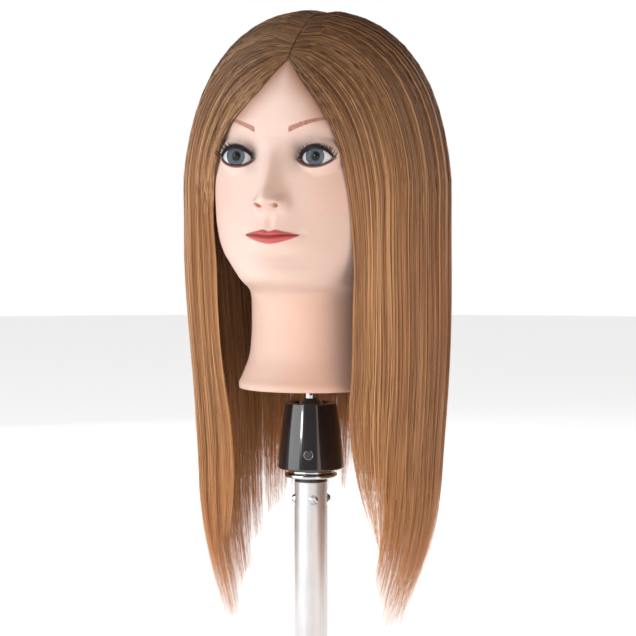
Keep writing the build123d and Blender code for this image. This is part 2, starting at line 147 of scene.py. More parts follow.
class Shader:
    """A material under construction: its tree, its principled shader and the helpers to feed it."""

    def __init__(self, name: str) -> None:
        """Starts a material with one principled shader.

        Args:
            name: the material's name.
        """
        self.material = bpy.data.materials.new(name)
        self.material.use_nodes = True
        self.tree = self.material.node_tree
        self.principled = self.tree.nodes["Principled BSDF"]

    def node(self, kind: str, settings: dict, inputs: dict) -> bpy.types.Node:
        """Adds a node.

        Args:
            kind: the node's type.
            settings: attributes that are set first, such as an operation.
            inputs: values or links by input name or index.

        Returns:
            The new node.
        """
        made = self.tree.nodes.new(kind)
        for key, value in settings.items():
            setattr(made, key, value)
        for key, value in inputs.items():
            self.feed(made.inputs[key], value)
        return made

    def feed(self, socket: bpy.types.NodeSocket, value: "object") -> None:
        """Links a field or socket to an input, or sets a plain value on it.

        Args:
            socket: the input.
            value: a field, a socket, a number or a vector.
        """
        if isinstance(value, Field):
            self.tree.links.new(value.socket, socket)
        elif isinstance(value, bpy.types.NodeSocket):
            self.tree.links.new(value, socket)
        else:
            socket.default_value = value

    def attribute(self, name: str) -> Field:
        """A float that the mesh holds per point."""
        return Field(self, self.node("ShaderNodeAttribute", {"attribute_name": name}, {}).outputs["Fac"])

    def place(self, scale: tuple[float, float, float] = (1, 1, 1)) -> bpy.types.NodeSocket:
        """Object coordinates in metres, stretched.

        Args:
            scale: the stretch along each axis.

        Returns:
            The coordinates.
        """
        where = self.node("ShaderNodeTexCoord", {}, {})
        settings = {"operation": "MULTIPLY"}
        made = self.node("ShaderNodeVectorMath", settings, {0: where.outputs["Object"], 1: scale})
        return made.outputs["Vector"]

    def coordinates(self, x: "float | Field", y: "float | Field", z: "float | Field") -> bpy.types.NodeSocket:
        """A vector from three fields."""
        return self.node("ShaderNodeCombineXYZ", {}, {"X": x, "Y": y, "Z": z}).outputs["Vector"]

    def noise(self, vector: bpy.types.NodeSocket, scale: float, detail: float = 3.0) -> Field:
        """Smooth noise between 0 and 1.

        Args:
            vector: the coordinates.
            scale: how many features fit in one unit.
            detail: how many octaves are added.

        Returns:
            The noise value.
        """
        made = self.node("ShaderNodeTexNoise", {}, {"Vector": vector, "Scale": scale, "Detail": detail})
        return Field(self, made.outputs["Fac"])

    def mix(self, factor: "float | Field", first: "object", second: "object") -> bpy.types.NodeSocket:
        """Mixes two colours.

        Args:
            factor: 0 for the first, 1 for the second.
            first: a colour or a colour socket.
            second: a colour or a colour socket.

        Returns:
            The mixed colour.
        """
        made = self.node("ShaderNodeMix", {"data_type": "RGBA"}, {0: factor})
        for key, value in ((COLOUR_A, first), (COLOUR_B, second)):
            self.feed(made.inputs[key], (*value, 1.0) if isinstance(value, tuple) else value)
        return made.outputs[COLOUR_OUT]

    def relief(self, height: Field, distance: float, strength: float = 1.0) -> None:
        """Feeds the normal from a height field.

        Args:
            height: the height, between 0 and 1.
            distance: what a height of 1 stands for, in millimetres.
            strength: how much of it shows.
        """
        inputs = {"Height": height, "Distance": distance * MM, "Strength": strength}
        made = self.node("ShaderNodeBump", {}, inputs)
        self.feed(self.principled.inputs["Normal"], made.outputs["Normal"])

    def set(self, **values: "object") -> None:
        """Sets or links inputs of the principled shader.

        Args:
            values: a value for each input, named with underscores for spaces.
        """
        for key, value in values.items():
            socket = self.principled.inputs[key.replace("_", " ")]
            if isinstance(value, tuple) and socket.type == "RGBA":
                value = (*value, 1.0)
            self.feed(socket, value)


# ---------------------------------------------------------------- finishes


class Grain(Enum):
    """Which way a surface's fine marks run."""

    CAST = (1.0, 1.0, 1.0)
    TURNED = (0.15, 0.15, 1.0)
    DRAWN = (1.0, 1.0, 0.04)


@dataclass(frozen=True)
class Finish:
    """A metal or plastic finish: two close colours, its gloss and its fine marks."""

    name: str
    dark: Colour
    light: Colour
    roughness: tuple[float, float]
    metallic: float = 0.0
    coat: float = 0.0
    grain: Grain = Grain.CAST
    marks: float = 900.0
    depth: float = 0.01
    glow: float = 0.0

    def build(self) -> Material:
        """Makes the material.

        Returns:
            The finish as a material.
        """
        shader = Shader(self.name)
        fine = shader.noise(shader.place(self.grain.value), self.marks, 4.0)
        cloud = shader.noise(shader.place(), 35.0, 3.0)
        wear = (fine * 0.5 + cloud * 0.5).step(0.3, 0.7)
        low, high = self.roughness
        shader.set(
            Base_Color=shader.mix(wear, self.dark, self.light),
            Roughness=wear * (high - low) + low,
            Metallic=self.metallic,
            Coat_Weight=self.coat,
            Coat_Roughness=0.04,
            Emission_Color=WHITE,
            Emission_Strength=self.glow,
        )
        shader.relief(fine, self.depth, 0.4)
        return shader.material


@dataclass(frozen=True)
class SkinFinish:
    """Soft moulded vinyl with painted lips, brows, lids and a little blush, with painted shade in the
    nostrils, in the crease between the lips and on the neck, whose warmth is partly its own tone.
    """

    pale: Colour = (0.77, 0.585, 0.515)
    warm: Colour = (0.76, 0.47, 0.35)
    lips: Colour = (0.50, 0.065, 0.070)
    brow: Colour = (0.33, 0.075, 0.050)
    shadow: Colour = (0.33, 0.235, 0.205)
    liner: Colour = (0.009, 0.004, 0.005)
    # painted shade inside the nostril pits
    nostril: Colour = (0.46, 0.17, 0.07)
    scalp: Colour = (0.30, 0.115, 0.055)
    # the neck's warm tone, which also carries painted shade on the head's left side
    neck_tone_and_shade: Colour = (0.70, 0.365, 0.225)

    def build(self) -> Material:
        """Makes the material.

        Returns:
            The painted skin as a material.
        """
        shader = Shader("skin_vinyl")
        cloud = shader.noise(shader.place(), 14.0, 2.0)
        colour = shader.mix(cloud.step(0.35, 0.75) * 0.22, self.pale, self.warm)
        colour = shader.mix(shader.attribute("blush") * 0.30, colour, (0.83, 0.42, 0.34))
        # warmer neck: partly its own tone, partly painted shade that deepens towards the head's left side
        colour = shader.mix(shader.attribute("neck_tone_and_shade") * 0.42, colour, self.neck_tone_and_shade)
        speck = shader.noise(shader.place(), 700.0, 2.0)
        shade = shader.attribute("lid_shade")
        colour = shader.mix(shade * (0.75 + speck * 0.25), colour, self.shadow)
        # the nostril pits are darkened: painted shade in the recesses
        colour = shader.mix(shader.attribute("nostril"), colour, self.nostril)
        across = shader.attribute("brow_across")
        along = shader.attribute("brow_along")
        hatch = shader.noise(shader.coordinates(along * 26.0 + across * 1.6, across * 0.25, 0.0), 1.9, 1.0)
        body = shader.attribute("brow_sd").step(-0.45, 0.65)
        colour = shader.mix(body * (0.52 + hatch.step(0.40, 0.60) * 0.44), colour, self.brow)
        colour = shader.mix(shader.attribute("hairline") * 0.78, colour, self.scalp)
        lip = shader.attribute("lip_sd").step(-0.35, 0.35)
        ridges = shader.noise(shader.place((1.0, 1.0, 0.25)), 900.0, 2.0)
        red = shader.mix(ridges, self.lips, (0.60, 0.115, 0.11))
        # painted shade in the crease between the lips
        mouth_crease_shade = shader.attribute("lip_crease_shade")
        red = shader.mix(mouth_crease_shade * 0.75, red, (0.16, 0.02, 0.02))
        colour = shader.mix(lip * 0.96, colour, red)
        colour = shader.mix(shader.attribute("lower_liner"), colour, (0.10, 0.022, 0.02))
        colour = shader.mix(shader.attribute("upper_liner"), colour, self.liner)
        shader.set(
            Base_Color=colour,
            Roughness=(speck * 0.08 + 0.47) - lip * 0.20,
            Subsurface_Weight=0.16,
            Subsurface_Radius=(1.0, 0.36, 0.20),
            Subsurface_Scale=0.005,
            Specular_IOR_Level=0.38,
        )
        pores = shader.noise(shader.place(), 1500.0, 2.0)
        shader.relief(pores + lip * ridges * 0.8, 0.02, 0.35)
        return shader.material


@dataclass(frozen=True)
class HairFinish:
    """Light brown hair: cooler and darker at the roots, golden towards the tips; the under-layer's copy is
    darkened as painted shade.
    """

    root: Colour = (0.125, 0.056, 0.028)
    length: Colour = (0.42, 0.19, 0.082)
    gold: Colour = (0.82, 0.48, 0.22)
    tip: Colour = (0.76, 0.37, 0.145)
    roughness: float = 0.44
    under: bool = False

    def build(self) -> Material:
        """Makes the material.

        Returns:
            The hair as a material.
        """
        shader = Shader("hair_under" if self.under else "hair_strand")
        along = shader.attribute("along")
        across = shader.attribute("across")
        strand = shader.attribute("strand")
        streak = shader.noise(shader.coordinates(across * 1400.0, along * 6.0, strand * 9.0), 1.0, 3.0)
        broad = shader.noise(shader.coordinates(across * 60.0, along * 2.2, 0.0), 1.0, 2.0)
        colour = shader.mix((along + strand * 0.20 - 0.10).step(0.04, 0.50), self.root, self.length)
        light = (strand * 0.75 + streak * 0.35 + broad * 0.25 - 0.10).step(0.42, 0.92)
        colour = shader.mix(light * (0.42 + along * 0.40), colour, self.gold)
        colour = shader.mix(along.step(0.62, 1.0) * 0.75, colour, self.tip)
        dark = (strand * 0.6 + streak * 0.4).step(0.44, 0.20)
        colour = shader.mix(dark * 0.62, colour, (0.085, 0.036, 0.018))
        # the under-layer is darkened towards near black: painted shade inside the hair
        if self.under:
            colour = shader.mix(0.45, colour, (0.055, 0.024, 0.013))
        shader.set(
            Base_Color=colour,
            Roughness=streak * 0.16 + (self.roughness - 0.06),
            Specular_IOR_Level=0.34,
        )
        shader.relief(streak, 0.15 if self.under else 0.03, 0.5)
        return shader.material


@dataclass(frozen=True)
class IrisFinish:
    """A printed grey-blue iris with radial fibres, a dark rim and a pupil."""

    def build(self) -> Material:
        """Makes the material.

        Returns:
            The iris as a material.
        """
        shader = Shader("iris_print")
        ray = shader.attribute("ray")
        turn = shader.attribute("turn")
        fibre = shader.noise(shader.coordinates(turn * 26.0, ray * 2.5, 0.0), 1.6, 3.0)
        colour = shader.mix(fibre.step(0.3, 0.7), (0.055, 0.080, 0.105), (0.16, 0.215, 0.265))
        colour = shader.mix(ray.step(0.66, 0.44) * 0.6, colour, (0.045, 0.05, 0.06))
        colour = shader.mix(ray.step(0.84, 0.99), colour, (0.035, 0.055, 0.085))
        colour = shader.mix(ray.step(0.48, 0.38), colour, (0.003, 0.003, 0.004))
        shader.set(Base_Color=colour, Roughness=0.5, Specular_IOR_Level=0.1)
        shader.relief(fibre, 0.08, 0.5)
        return shader.material


@dataclass(frozen=True)
class EyeWhiteFinish:
    """Glossy off-white with a trace of vein colour towards the corners."""

    def build(self) -> Material:
        """Makes the material.

        Returns:
            The eye white as a material.
        """
        shader = Shader("eye_white")
        vein = shader.noise(shader.place((1.0, 1.0, 2.0)), 240.0, 5.0)
        tint = shader.attribute("ray").step(0.75, 1.6) * vein.step(0.45, 0.62)
        colour = shader.mix(tint * 0.35, (0.64, 0.645, 0.67), (0.60, 0.36, 0.33))
        shader.set(Base_Color=colour, Roughness=0.12, Coat_Weight=0.8, Coat_Roughness=0.03)
        return shader.material


@dataclass(frozen=True)
class LensFinish:
    """The clear dome over the iris."""

    def build(self) -> Material:
        """Makes the material.

        Returns:
            The lens as a material.
        """
        shader = Shader("cornea_clear")
        haze = shader.noise(shader.place(), 300.0, 1.0)
        shader.set(Base_Color=WHITE, Roughness=haze * 0.01, Transmission_Weight=1.0, IOR=1.30)
        return shader.material


# ---------------------------------------------------------------- mesh helpers


def ease(low: float, high: float, value: np.ndarray) -> np.ndarray:
    """A smooth rise from 0 at low to 1 at high; low may be above high."""
    t = np.clip((value - low) / (high - low), 0.0, 1.0)
    return t * t * (3.0 - 2.0 * t)


def mound(across: np.ndarray, up: np.ndarray, wide: float, tall: float) -> np.ndarray:
    """A bell that is 1 where both offsets are 0."""
    return np.exp(-((across / wide) ** 2) - (up / tall) ** 2)


def through(stops: list[tuple[float, ...]], column: int, at: np.ndarray) -> np.ndarray:
    """A curve without overshoot through one column of a table.

    Args:
        stops: rows whose first value rises from row to row.
        column: which value of the rows is followed.
        at: where the curve is read.

    Returns:
        The curve's values.
    """
    x = np.array([row[0] for row in stops], float)
    y = np.array([row[column] for row in stops], float)
    gap = np.diff(x)
    slope = np.diff(y) / gap
    tangent = np.zeros_like(y)
    tangent[0] = slope[0]
    tangent[-1] = slope[-1]
    same = slope[:-1] * slope[1:] > 0
    safe = np.where(same, slope[:-1] * slope[1:], 1.0)
    mean = safe * 3.0 * (gap[:-1] + gap[1:])
    weight = (2 * gap[1:] + gap[:-1]) * slope[1:] + (gap[1:] + 2 * gap[:-1]) * slope[:-1]
    tangent[1:-1] = np.where(same, mean / np.where(same, weight, 1.0), 0.0)
    i = np.clip(np.searchsorted(x, at) - 1, 0, len(gap) - 1)
    t = np.clip((at - x[i]) / gap[i], 0.0, 1.0)
    rise = y[i] * (1 + 2 * t) * (1 - t) ** 2 + y[i + 1] * t * t * (3 - 2 * t)
    return rise + gap[i] * t * (1 - t) * (tangent[i] * (1 - t) - tangent[i + 1] * t)


def smooth_most(first: np.ndarray, second: np.ndarray, width: float) -> np.ndarray:
    """The larger of two heights, with the crease between them rounded."""
    share = np.clip(0.5 + 0.5 * (first - second) / width, 0.0, 1.0)
    return first * share + second * (1 - share) + width * share * (1 - share)


def grid_faces(rows: int, columns: int, closed: bool) -> np.ndarray:
    """The quads of a grid of points, row after row.

    Args:
        rows: the number of rows of points.
        columns: the number of points in a row.
        closed: whether each row joins its own start.

    Returns:
        The corners of each quad.
    """
    row = np.arange(rows - 1)[:, None] * columns
    here = np.arange(columns if closed else columns - 1)[None, :]
    after = (here + 1) % columns
    quads = np.stack([row + here, row + after, row + after + columns, row + here + columns], axis=-1)
    return quads.reshape(-1, 4)


def make_piece(
    name: str,
    points: np.ndarray,
    faces: "np.ndarray | list",
    material: Material,
    fields: "dict[str, np.ndarray] | None" = None,
) -> Piece:
    """Makes a smooth-shaded mesh object.

    Args:
        name: the piece's name.
        points: its points in millimetres.
        faces: the corners of each face.
        material: its material.
        fields: floats per point that its material reads.

    Returns:
        The new object.
    """
    mesh = bpy.data.meshes.new(name)
    mesh.from_pydata((points * MM).tolist(), [], [list(f) for f in faces])
    mesh.polygons.foreach_set("use_smooth", [True] * len(mesh.polygons))
    for key, values in (fields or {}).items():
        layer = mesh.attributes.new(key, "FLOAT", "POINT")
        layer.data.foreach_set("value", np.ascontiguousarray(values, np.float32).ravel())
    mesh.materials.append(material)
    piece = bpy.data.objects.new(name, mesh)
    bpy.context.scene.collection.objects.link(piece)
    return piece


def finish_piece(piece: Piece, body: str, stands_for: tuple[str, ...] = ()) -> None:
    """Puts a piece on a body and hides the design nodes that it stands for.

    Args:
        piece: the object.
        body: the body that it moves with.
        stands_for: the design nodes that it replaces.
    """
    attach(piece, body)
    if stands_for:
        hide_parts(*stands_for)
    log.info("%s on %s: %d faces", piece.name, body, len(piece.data.polygons))


def centre_of(node: str) -> np.ndarray:
    """The middle of a design node's box, in millimetres."""
    low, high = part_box(node)
    return (np.array(low) + np.array(high)) / 2 / MM


# the edge of the hair round the face, from the parting down
EDGE_LEFT: Rows = [
    (9, -73, 492), (14, -77, 486), (20, -80, 478), (31, -81, 464), (42, -78, 446), (49, -71, 423),
    (53, -65, 395), (55, -60, 365), (56, -56, 335), (54, -53, 300), (53, -52, 250), (51, -52, 215),
    (53, -50, 185), (59, -46, 150), (70, -34, 104),
]
EDGE_RIGHT: Rows = [
    (7, -73, 492), (2, -78, 486), (-4, -82, 478), (-15, -85, 464), (-36, -81, 444), (-50, -72, 424),
    (-60, -58, 406), (-67, -42, 388), (-68, -39, 362), (-66, -38, 335), (-66, -36, 300), (-63, -34, 250),
    (-56, -32, 200), (-55, -30, 150), (-62, -26, 104),
]


# ---------------------------------------------------------------- the head's skin


@dataclass
class Head:
    """The moulded head and neck. Heights are measured from the level of the eyes."""

    eye: np.ndarray
    ball: float
    centre_y: float = 8.0
    squareness: float = 2.15
    opening_in: float = 18.3
    opening_wide: float = 28.3
    lid: float = 1.6
    mouth_half: float = 22.6
    mouth_up: float = -60.9
    brow_in: float = 13.6
    brow_long: float = 28.5
    # the front, this far each way from straight ahead, has the most columns
    fine_half: float = 66.0
    columns_front: int = 232
    columns_back: int = 84
    rows: int = 286
    socket_clear: float = 9.1
    # height, half width, front, back
    levels: Rows = field(
        default_factory=lambda: [
            (-184, 58.0, 59.0, 63.5),
            (-181, 58.5, 59.5, 64.0),
            (-174, 56.0, 55.0, 62.5),
            (-156, 50.5, 46.5, 62.0),
            (-133, 49.0, 44.5, 62.5),
            (-115, 49.0, 45.5, 63.0),
            (-107, 49.5, 50.0, 64.0),
            (-103, 50.0, 60.0, 65.0),
            (-100, 50.0, 73.0, 66.0),
            (-97, 51.0, 81.0, 68.0),
            (-93, 53.0, 86.0, 70.0),
            (-86, 58.0, 88.5, 73.0),
            (-76, 65.5, 88.5, 79.0),
            (-64, 70.5, 88.0, 86.0),
            (-46, 73.5, 87.5, 94.0),
            (-24, 74.5, 87.0, 100.0),
            (-2, 74.0, 87.0, 103.5),
            (20, 74.0, 88.5, 105.0),
            (42, 72.0, 87.0, 102.0),
            (60, 66.0, 81.0, 95.0),
            (76, 56.0, 70.5, 83.0),
            (89, 43.0, 56.0, 67.0),
            (98, 28.0, 39.0, 47.0),
            (104, 13.0, 22.0, 25.0),
            (106, 2.0, 4.0, 4.0),
        ]
    )
    # height, how far the nose stands out, half width of its ridge
    nose: Rows = field(
        default_factory=lambda: [
            (-48, 0.0, 9.0),
            (-43.5, 1.4, 9.0),
            (-41, 4.6, 8.8),
            (-38.5, 12.0, 8.8),
            (-35.5, 19.0, 8.8),
            (-32, 21.6, 8.6),
            (-28, 20.2, 8.2),
            (-22, 16.2, 7.5),
            (-12, 11.0, 6.8),
            (-3, 6.8, 6.6),
            (6, 2.6, 7.2),
            (15, 0.0, 9.0),
        ]
    )

    def lid_lines(self, side: np.ndarray) -> tuple[np.ndarray, np.ndarray, np.ndarray, np.ndarray]:
        """The edges of the eye opening.

        Args:
            side: distance from the head's middle plane.

        Returns:
            The share of the opening's width, and the heights of its corner line, upper and lower edge.
        """
        t = (side - self.opening_in) / self.opening_wide
        inside = np.clip(4 * t * (1 - t), 0.0, 1.0)
        corner = -2.9 + 1.3 * t
        return t, corner, corner + 8.6 * inside**0.68, corner - 5.4 * inside**0.78

    def lid_distance(self, side: np.ndarray, up: np.ndarray) -> np.ndarray:
        """How far a point is inside the eye opening.

        Args:
            side: distance from the head's middle plane.
            up: height from the eyes.

        Returns:
            The distance, which is negative outside.
        """
        t, corner, upper, lower = self.lid_lines(side)
        within = np.minimum(upper - up, up - lower) * 0.88
        past = np.maximum(-t, t - 1) * self.opening_wide
        outside = -np.hypot(past, up - corner)
        return np.where((t > 0) & (t < 1), within, outside)

    def lip_lines(self, x: np.ndarray) -> tuple[np.ndarray, np.ndarray, np.ndarray, np.ndarray]:
        """The outlines of the lips.

        Args:
            x: distance across the face.

        Returns:
            The fullness across the mouth, and the heights of the upper edge, the line and the lower edge.
        """
        u = np.clip(np.abs(x) / self.mouth_half, 0.0, 1.0)
        full = np.sqrt(1 - u * u)
        line = self.mouth_up + 1.2 * u * u - 0.3 * np.cos(np.pi * u * 2)
        peaks = 0.9 * np.exp(-(((u - 0.24) / 0.16) ** 2))
        dip = 1.1 * np.exp(-((u / 0.12) ** 2))
        bow = 4.9 * (1 - u) ** 0.85 + peaks - dip
        return full, line + bow, line, line - 5.7 * (1 - u**2.2) ** 0.9

    def relief(self, x: np.ndarray, up: np.ndarray) -> np.ndarray:
        """How far the features stand out of the plain front, before the eyelids.

        Args:
            x: distance across the face.
            up: height from the eyes.

        Returns:
            The height of the relief.
        """
        s = np.abs(x)
        # the eye sockets
        out = -6.6 * mound(s - 19.5, up - 0.5, 8.5, 9.5) - 3.2 * mound(s - 35, up - 3, 15, 12)
        # the nose: its ridge, wings, creases and nostrils
        ridge = through(self.nose, 1, up)
        width = through(self.nose, 2, up)
        out += ridge * np.exp(-((s / width) ** 2.3))
        out += 10.3 * mound(s - 10.0, up + 35.4, 3.7, 4.8)
        out -= 2.2 * mound(s - 15.0, up + 34.4, 1.8, 5.5)
        out -= 4.5 * self.nostril(s, up, 2.6, 1.8)
        # the mouth: its mound, both lips, the line between them and its corners
        out += 5.8 * mound(x, up + 60, 24, 15)
        full, top, line, bottom = self.lip_lines(x)
        upper = np.clip((up - line) / np.maximum(top - line, 0.2), 0.0, 1.0)
        lower = np.clip((line - up) / np.maximum(line - bottom, 0.2), 0.0, 1.0)
        out += 3.0 * full * np.sin(np.pi * upper) ** 0.75 * (up < top)
        out += 3.7 * full * np.sin(np.pi * lower) ** 0.75 * (up > bottom)
        out -= 1.9 * full**0.5 * mound(0 * x, up - line, 1.0, 0.75) * (s < self.mouth_half)
        out -= 1.0 * mound(s - 24.0, up + 59.5, 3.0, 3.0)
        # the groove above the mouth, the hollow below it, the chin, the cheeks and the brows
        out += 0.5 * mound(s - 4.8, up + 50, 2.4, 6) - 0.9 * mound(x, up + 50, 2.8, 6.5)
        out -= 2.6 * mound(x, up + 74.5, 18, 4.6)
        out += 2.4 * mound(x, up + 89, 15, 9)
        out += 2.0 * mound(s - 40, up + 30, 18, 18) + 0.5 * mound(s - 18, up - 40, 16, 12)
        out += 1.1 * mound(s - 27, up - 25, 17, 6)
        return out

    def nostril(self, side: np.ndarray, up: np.ndarray, wide: float, tall: float) -> np.ndarray:
        """How deep a point is in a nostril.

        Args:
            side: distance from the head's middle plane.
            up: height from the eyes.
            wide: the nostril's half width.
            tall: the nostril's half height.

        Returns:
            1 in the middle of the nostril, falling to 0 past its edge.
        """
        across = side - 7.2
        return np.exp(-(((across / wide) ** 2 + ((up + 37.2 - 0.25 * across) / tall) ** 2) ** 2))

    def front(self, x: np.ndarray, up: np.ndarray, plain: np.ndarray, wide: np.ndarray) -> np.ndarray:
        """How far the face reaches forward of the column's axis.

        Args:
            x: distance across the face.
            up: height from the eyes.
            plain: the reach of the head without features.
            wide: the head's half width at that height.

        Returns:
            The reach with features and eyelids.
        """
        fade = 1 - ease(0.80, 0.97, np.abs(x) / wide)
        reach = plain + self.relief(x, up) * fade
        side = np.abs(x) - self.eye[0]
        away = np.hypot(side, up)
        shell = self.ball + self.lid
        dome = np.sqrt(np.maximum(shell**2 - away**2, 0.0)) - 3.0 * np.maximum(away - shell, 0.0)
        reach = smooth_most(reach, -self.eye[1] + dome, 4.2 + 3.2 * ease(-3.0, -11.0, up))
        t, _, upper, _ = self.lid_lines(np.abs(x))
        fold = np.exp(-(((up - upper - 4.2) / 1.1) ** 2)) * np.clip(4 * t * (1 - t), 0, 1) ** 0.5
        return reach - 0.9 * fold

    def section(self, turn: np.ndarray, up: np.ndarray) -> tuple[np.ndarray, np.ndarray, np.ndarray]:
        """The plain head's outline.

        Args:
            turn: angle from straight ahead.
            up: height from the eyes.

        Returns:
            The place across and along, and the half width.
        """
        wide = through(self.levels, 1, up)
        front = through(self.levels, 2, up) + self.centre_y
        back = through(self.levels, 3, up) - self.centre_y
        deep = np.where(np.cos(turn) > 0, front, back)
        n = self.squareness
        reach = (np.abs(np.sin(turn) / wide) ** n + np.abs(np.cos(turn) / deep) ** n) ** (-1 / n)
        return reach * np.sin(turn), self.centre_y - reach * np.cos(turn), wide

    def heights(self) -> np.ndarray:
        """The rows' heights, closest together where the face has its features.

        Returns:
            The heights from the eyes.
        """
        fine = np.linspace(self.levels[0][0], self.levels[-1][0], 4000)
        run = np.hypot(np.gradient(through(self.levels, 2, fine)), np.gradient(fine))
        need = 0.25 + 1.0 * mound(0 * fine, fine + 3, 1, 20) + 1.0 * mound(0 * fine, fine + 40, 1, 34)
        total = np.concatenate([[0.0], np.cumsum((run * need)[1:])])
        return np.interp(np.linspace(0, total[-1], self.rows), total, fine)

    def build(self, material: Material) -> Piece:
        """Makes the skin.

        Args:
            material: the painted skin.

        Returns:
            The skin's object.
        """
        half = math.radians(self.fine_half)
        ahead = np.linspace(-half, half, self.columns_front, endpoint=False)
        behind = np.linspace(half, 2 * math.pi - half, self.columns_back, endpoint=False)
        turn = np.concatenate([ahead, behind])
        up, turn = np.meshgrid(self.heights(), turn, indexing="ij")
        x, y, wide = self.section(turn, up)
        front = np.cos(turn) > 0.12
        inside = front & (self.lid_distance(np.abs(x), up) > 0)
        beside = np.zeros_like(inside)
        for axis in (0, 1):
            for shift in (-1, 1):
                beside |= ~np.roll(inside, shift, axis)
        edge = inside & beside
        _, _, upper, lower = self.lid_lines(np.abs(x))
        snapped = np.where(upper - up < up - lower, upper, lower)
        moved = np.where(edge, snapped, up)
        plain = -self.section(turn, moved)[1]
        reach = self.front(x, moved, plain, wide)
        y = np.where(front, -reach, y)
        ear = mound(np.abs(x) - wide, 0 * x, 8, 1) * mound(y - 14, moved + 6, 13, 26)
        x = x * (1 + 0.09 * ear)
        points = np.stack([x, y, moved + self.eye[2]], axis=-1).reshape(-1, 3)
        faces = grid_faces(*up.shape, True)
        keep = ~(inside.reshape(-1)[faces].all(axis=1))
        points, faces = self.close_base(points, faces[keep], up.shape[1])
        # the base's own points are plain skin, at the lowest level
        added = len(points) - x.size
        across = np.concatenate([x.ravel(), np.zeros(added)])
        level = np.concatenate([moved.ravel(), np.full(added, float(self.levels[0][0]))])
        fields = self.paint(across, level)
        piece = make_piece("head_skin", points, faces, material, fields)
        self.turn_in_lids(piece)
        return piece

    def close_base(
        self, points: np.ndarray, faces: np.ndarray, columns: int
    ) -> tuple[np.ndarray, np.ndarray]:
        """Adds the rounded rim and the flat underside of the neck, up to the socket.

        Args:
            points: the points so far.
            faces: the quads so far.
            columns: the points in a row.

        Returns:
            All points and quads.
        """
        rim = points[:columns].copy()
        middle = np.array([0.0, 2.0, 0.0])
        socket = centre_of("neck_socket")
        out = rim - middle
        out[:, 2] = 0
        length = np.linalg.norm(out, axis=1, keepdims=True)
        rings = []
        for inward, drop in ((0.6, 0.5), (1.6, 1.0), (3.0, 1.2)):
            ring = rim - out / length * inward
            ring[:, 2] = rim[:, 2] - 0.2 * drop
            rings.append(ring)
        hole = socket + out / length * self.socket_clear
        hole[:, 2] = rings[-1][:, 2]
        for share in (0.35, 0.7, 1.0):
            rings.append(rings[2] * (1 - share) + hole * share)
        start = len(points)
        extra = np.concatenate(rings)
        strip = grid_faces(len(rings), columns, True)[:, ::-1] + start
        here = np.arange(columns)
        after = (here + 1) % columns
        first = np.stack([here, start + here, start + after, after], axis=-1)
        return np.concatenate([points, extra]), np.concatenate([faces, first, strip])

    def paint(self, x: np.ndarray, up: np.ndarray) -> dict[str, np.ndarray]:
        """The painted features as floats per point.

        Args:
            x: distance across the face.
            up: height from the eyes.

        Returns:
            Each feature's field by name.
        """
        s = np.abs(x)
        _, top, line, bottom = self.lip_lines(x)
        lip = np.where(s < self.mouth_half, np.minimum(top - up, up - bottom), -3.0)
        run = (s - self.brow_in) / self.brow_long
        middle = 20.2 + 9.0 * run + 1.2 * np.sin(np.pi * np.clip(run, 0, 1))
        half = 2.35 * (1 - 0.50 * np.clip(run, 0, 1))
        brow = np.minimum(half - np.abs(up - middle), np.minimum(run, 1.16 - run) * self.brow_long)
        opening = self.lid_distance(s, up)
        t, corner, _, _ = self.lid_lines(s)
        above = ease(-0.8, 0.8, up - corner)
        thick = 1.3 + 1.5 * np.sin(np.pi * (np.clip(t, 0, 1) * 0.9 + 0.1))
        upper_liner = above * ease(-thick - 0.5, -thick + 0.4, opening)
        upper_liner = np.maximum(upper_liner, 0.62 * mound(s - 17.6, up + 0.6, 2.2, 3.6))
        lower_liner = (1 - above) * ease(-1.5, -0.7, opening) * 0.95
        shade = 0.80 * mound(s - 19, up - 3.5, 6.0, 8.5) + 0.50 * mound(s - 32, up - 10, 15, 7.5)
        shade *= ease(-3.5, 3.0, up - corner)
        return {
            "lip_sd": lip,
            # the crease between the lips, darkened as painted shade
            "lip_crease_shade": mound(0 * x, up - line, 1.0, 0.55) * (s < 22.3),
            "brow_sd": brow,
            "brow_along": run,
            "brow_across": (up - middle) / half,
            "upper_liner": upper_liner,
            "lower_liner": lower_liner,
            "lid_shade": np.clip(shade, 0, 1),
            # where the nostril pits get their painted shade
            "nostril": self.nostril(s, up, 2.5, 1.9),
            "hairline": self.hairline(x, up),
            # the neck's warmth: partly its own tone, partly painted shade rising towards the head's left side
            # (+x)
            "neck_tone_and_shade": ease(-92.0, -116.0, up) * (0.55 + 0.45 * ease(-30.0, 30.0, x)),
            "blush": mound(s - 44, up + 28, 18, 16) * 0.8 + 0.35 * mound(x, up + 88, 16, 10),
        }

    def hairline(self, x: np.ndarray, up: np.ndarray) -> np.ndarray:
        """How close a point of the forehead is to the roots along the hair's edge.

        Args:
            x: distance across the face.
            up: height from the eyes.

        Returns:
            1 at the roots, falling to 0 away from them.
        """
        near = np.full(x.shape, 60.0)
        for line in (EDGE_LEFT, EDGE_RIGHT):
            rows = np.array(line, float)
            at = np.linspace(0, len(rows) - 1, 160)
            edge_x = np.interp(at, np.arange(len(rows)), rows[:, 0])
            edge_up = np.interp(at, np.arange(len(rows)), rows[:, 2]) - self.eye[2]
            for here, height in zip(edge_x, edge_up):
                near = np.minimum(near, np.hypot(x - here, up - height))
        return np.exp(-((near / 9.0) ** 1.8)) * ease(12.0, 34.0, up)

